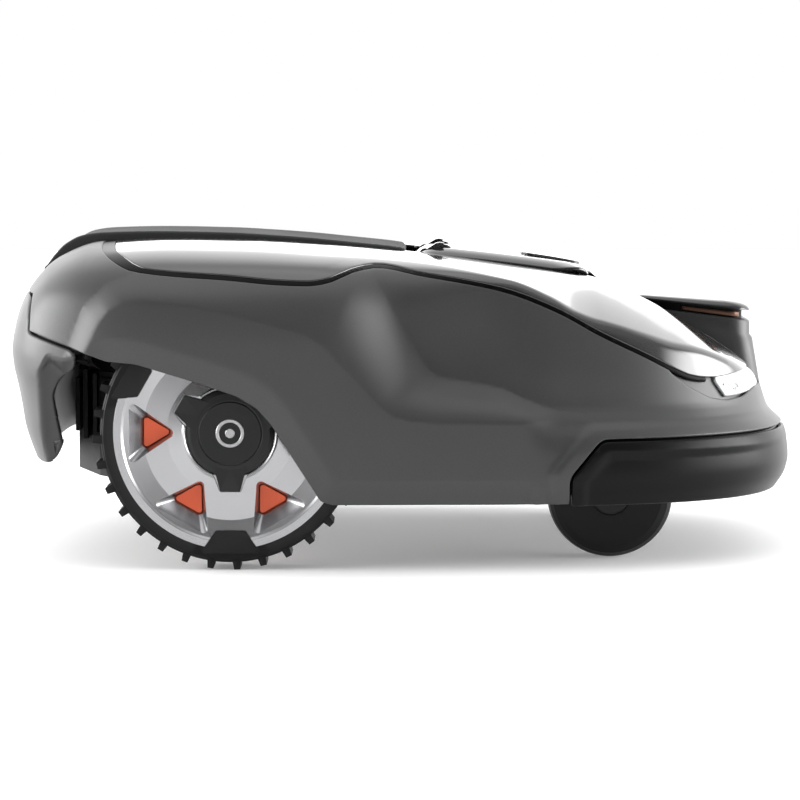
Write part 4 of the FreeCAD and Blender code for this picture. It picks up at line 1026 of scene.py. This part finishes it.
def soft_box(name, place, target, size, power):
    """An area light that faces the target."""
    data = bpy.data.lights.new(name, "AREA")
    data.shape = "RECTANGLE"
    data.size, data.size_y = size
    data.energy = power
    ob = bpy.data.objects.new(name, data)
    bpy.context.scene.collection.objects.link(ob)
    ob.location = place
    ob.rotation_euler = (Vector(target) - Vector(place)).to_track_quat("-Z", "Y").to_euler()


def build_lights():
    """A wide box behind for the top, and a smaller one at each end."""
    soft_box("back_box", (0.6, 2.4, 0.7), (0.6, 0, 0.2), (7.0, 1.2), 14)
    soft_box("rear_box", (-1.7, 0.25, 0.45), (0, 0, 0.12), (1.3, 0.9), 6)
    soft_box("front_box", (1.7, -0.1, 0.5), (0.1, 0, 0.1), (0.6, 0.8), 2)


CAMERA_DISTANCE, CAMERA_HEIGHT, CENTRE_HEIGHT = 3.07, 0.35, 0.110       # metres
SENSOR_MM, LENS_MM = 36.0, 169.9


def build_camera():
    """On the right side, a little above the machine and looking slightly down."""
    data = bpy.data.cameras.new("camera")
    data.sensor_width = SENSOR_MM
    data.lens = LENS_MM
    ob = bpy.data.objects.new("camera", data)
    bpy.context.scene.collection.objects.link(ob)
    ob.location = (0, -CAMERA_DISTANCE, CAMERA_HEIGHT)
    ob.rotation_euler = (Vector((0, 0, CENTRE_HEIGHT)) - ob.location).to_track_quat("-Z", "Y").to_euler()
    bpy.context.scene.camera = ob


# ------------------------------------------------------------------ the object
MATERIALS = make_materials()
SLOTS = {entry["node"]: entry["material_slot"] for entry in frame["record"]["subparts"]}


def place(ob, body_name, slot, nodes=(), material=None):
    """Rides the piece on its body in its finish, in place of the CAD nodes that it shows."""
    ob.data.materials.clear()
    ob.data.materials.append(MATERIALS[material or slot])
    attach(ob, body_name)
    if nodes:
        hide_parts(*nodes)


def dress_cad():
    """Each CAD node in the finish of its own slot."""
    for node, ob in frame["nodes"].items():
        ob.data.materials.clear()
        ob.data.materials.append(MATERIALS[SLOTS[node]])


def build_shell():
    """The panels cut from the skin, and the spine."""
    skin = build_skin()
    lenses = ["headlight_lens_right", "headlight_lens_left"]

    def mould(name, field, roll, wall, slot, nodes, sink=0.0, material=None):
        place(panel(name, skin, field, roll, wall, sink), "shell", slot, nodes, material)

    mould("shell_panel", shell_field, 0.9, 2.4, "shell_grey", ["body_shell"])
    # the gap liner is finished near-black instead of shell grey: a painted shade seen through the shut lines
    mould("gap_liner", liner_field, 0.5, 2.0, "shell_grey", ["body_shell"], 4.6, "seal_black")
    mould("lamp_ledge", ledge_field, 0.5, 2.0, "shell_grey", ["body_shell"], 4.2)
    place(spine_panel(), "shell", "shell_grey", ["body_shell"], "spine_grey")
    mould("cover_panel", cover_field, 0.8, 3.0, "cover_gloss", ["top_cover"])
    mould("trim_bead", trim_field, 1.3, 3.0, "seal_black", ["cover_trim"], 0.7)
    mould("front_bumper_panel", bumper_field, 1.8, 2.4, "bumper_black", ["front_bumper"])
    mould("rear_bumper_panel", rear_field, 2.0, 4.5, SLOTS["rear_bumper"], ["rear_bumper"])
    mould("lamp_lens", lens_field, 1.0, 2.4, "lens_clear", lenses, 1.4)
    mould("lamp_boards", board_field, 0.3, 1.6, "circuit_board", ["headlight_boards"], 9.0)
    mould("lamp_bars", lamp_bar_field, 0.8, 2.0, "lens_clear", lenses, 1.6)
    mould("lamp_lines", lamp_lines_field, 0.5, 1.5, "lens_clear", lenses, 0.8, "badge_silver")


def build_nose():
    """The charging nose, on the shell."""
    block, core, lid, strip = nose_pieces()
    place(block, "shell", "nose_black", ["contact_nose"])
    # the core at the back of the slot is finished near-black, darker than the nose block: a painted shade in
    # the slot
    place(core, "shell", "nose_black", ["contact_nose"], "seal_black")
    place(lid, "shell", "nose_black", ["contact_nose"], "cap_gloss")
    place(strip, "shell", "contact_copper", ["charging_contacts"])


def build_details():
    """The hatch lid, the hub badges and the ribs behind the wheels."""
    place(lid_panel(), "lid", SLOTS["hatch_lid"], ["hatch_lid"], "cover_gloss")
    place(hinge_hoods(), "lid", SLOTS["hatch_lid"], ["hatch_lid"], "cap_gloss")
    right, left = wheel_badges()
    place(right, "drive_right", "cap_black", (), "badge_silver")
    place(left, "drive_left", "cap_black", (), "badge_silver")
    for ob in bay_ribs():
        place(ob, "chassis", "chassis_black")


bpy.context.scene.view_settings.view_transform = "Standard"
dress_cad()
build_shell()
build_nose()
build_details()
build_stage()
studio_world()
build_lights()
build_camera()
bpy.context.view_layer.update()
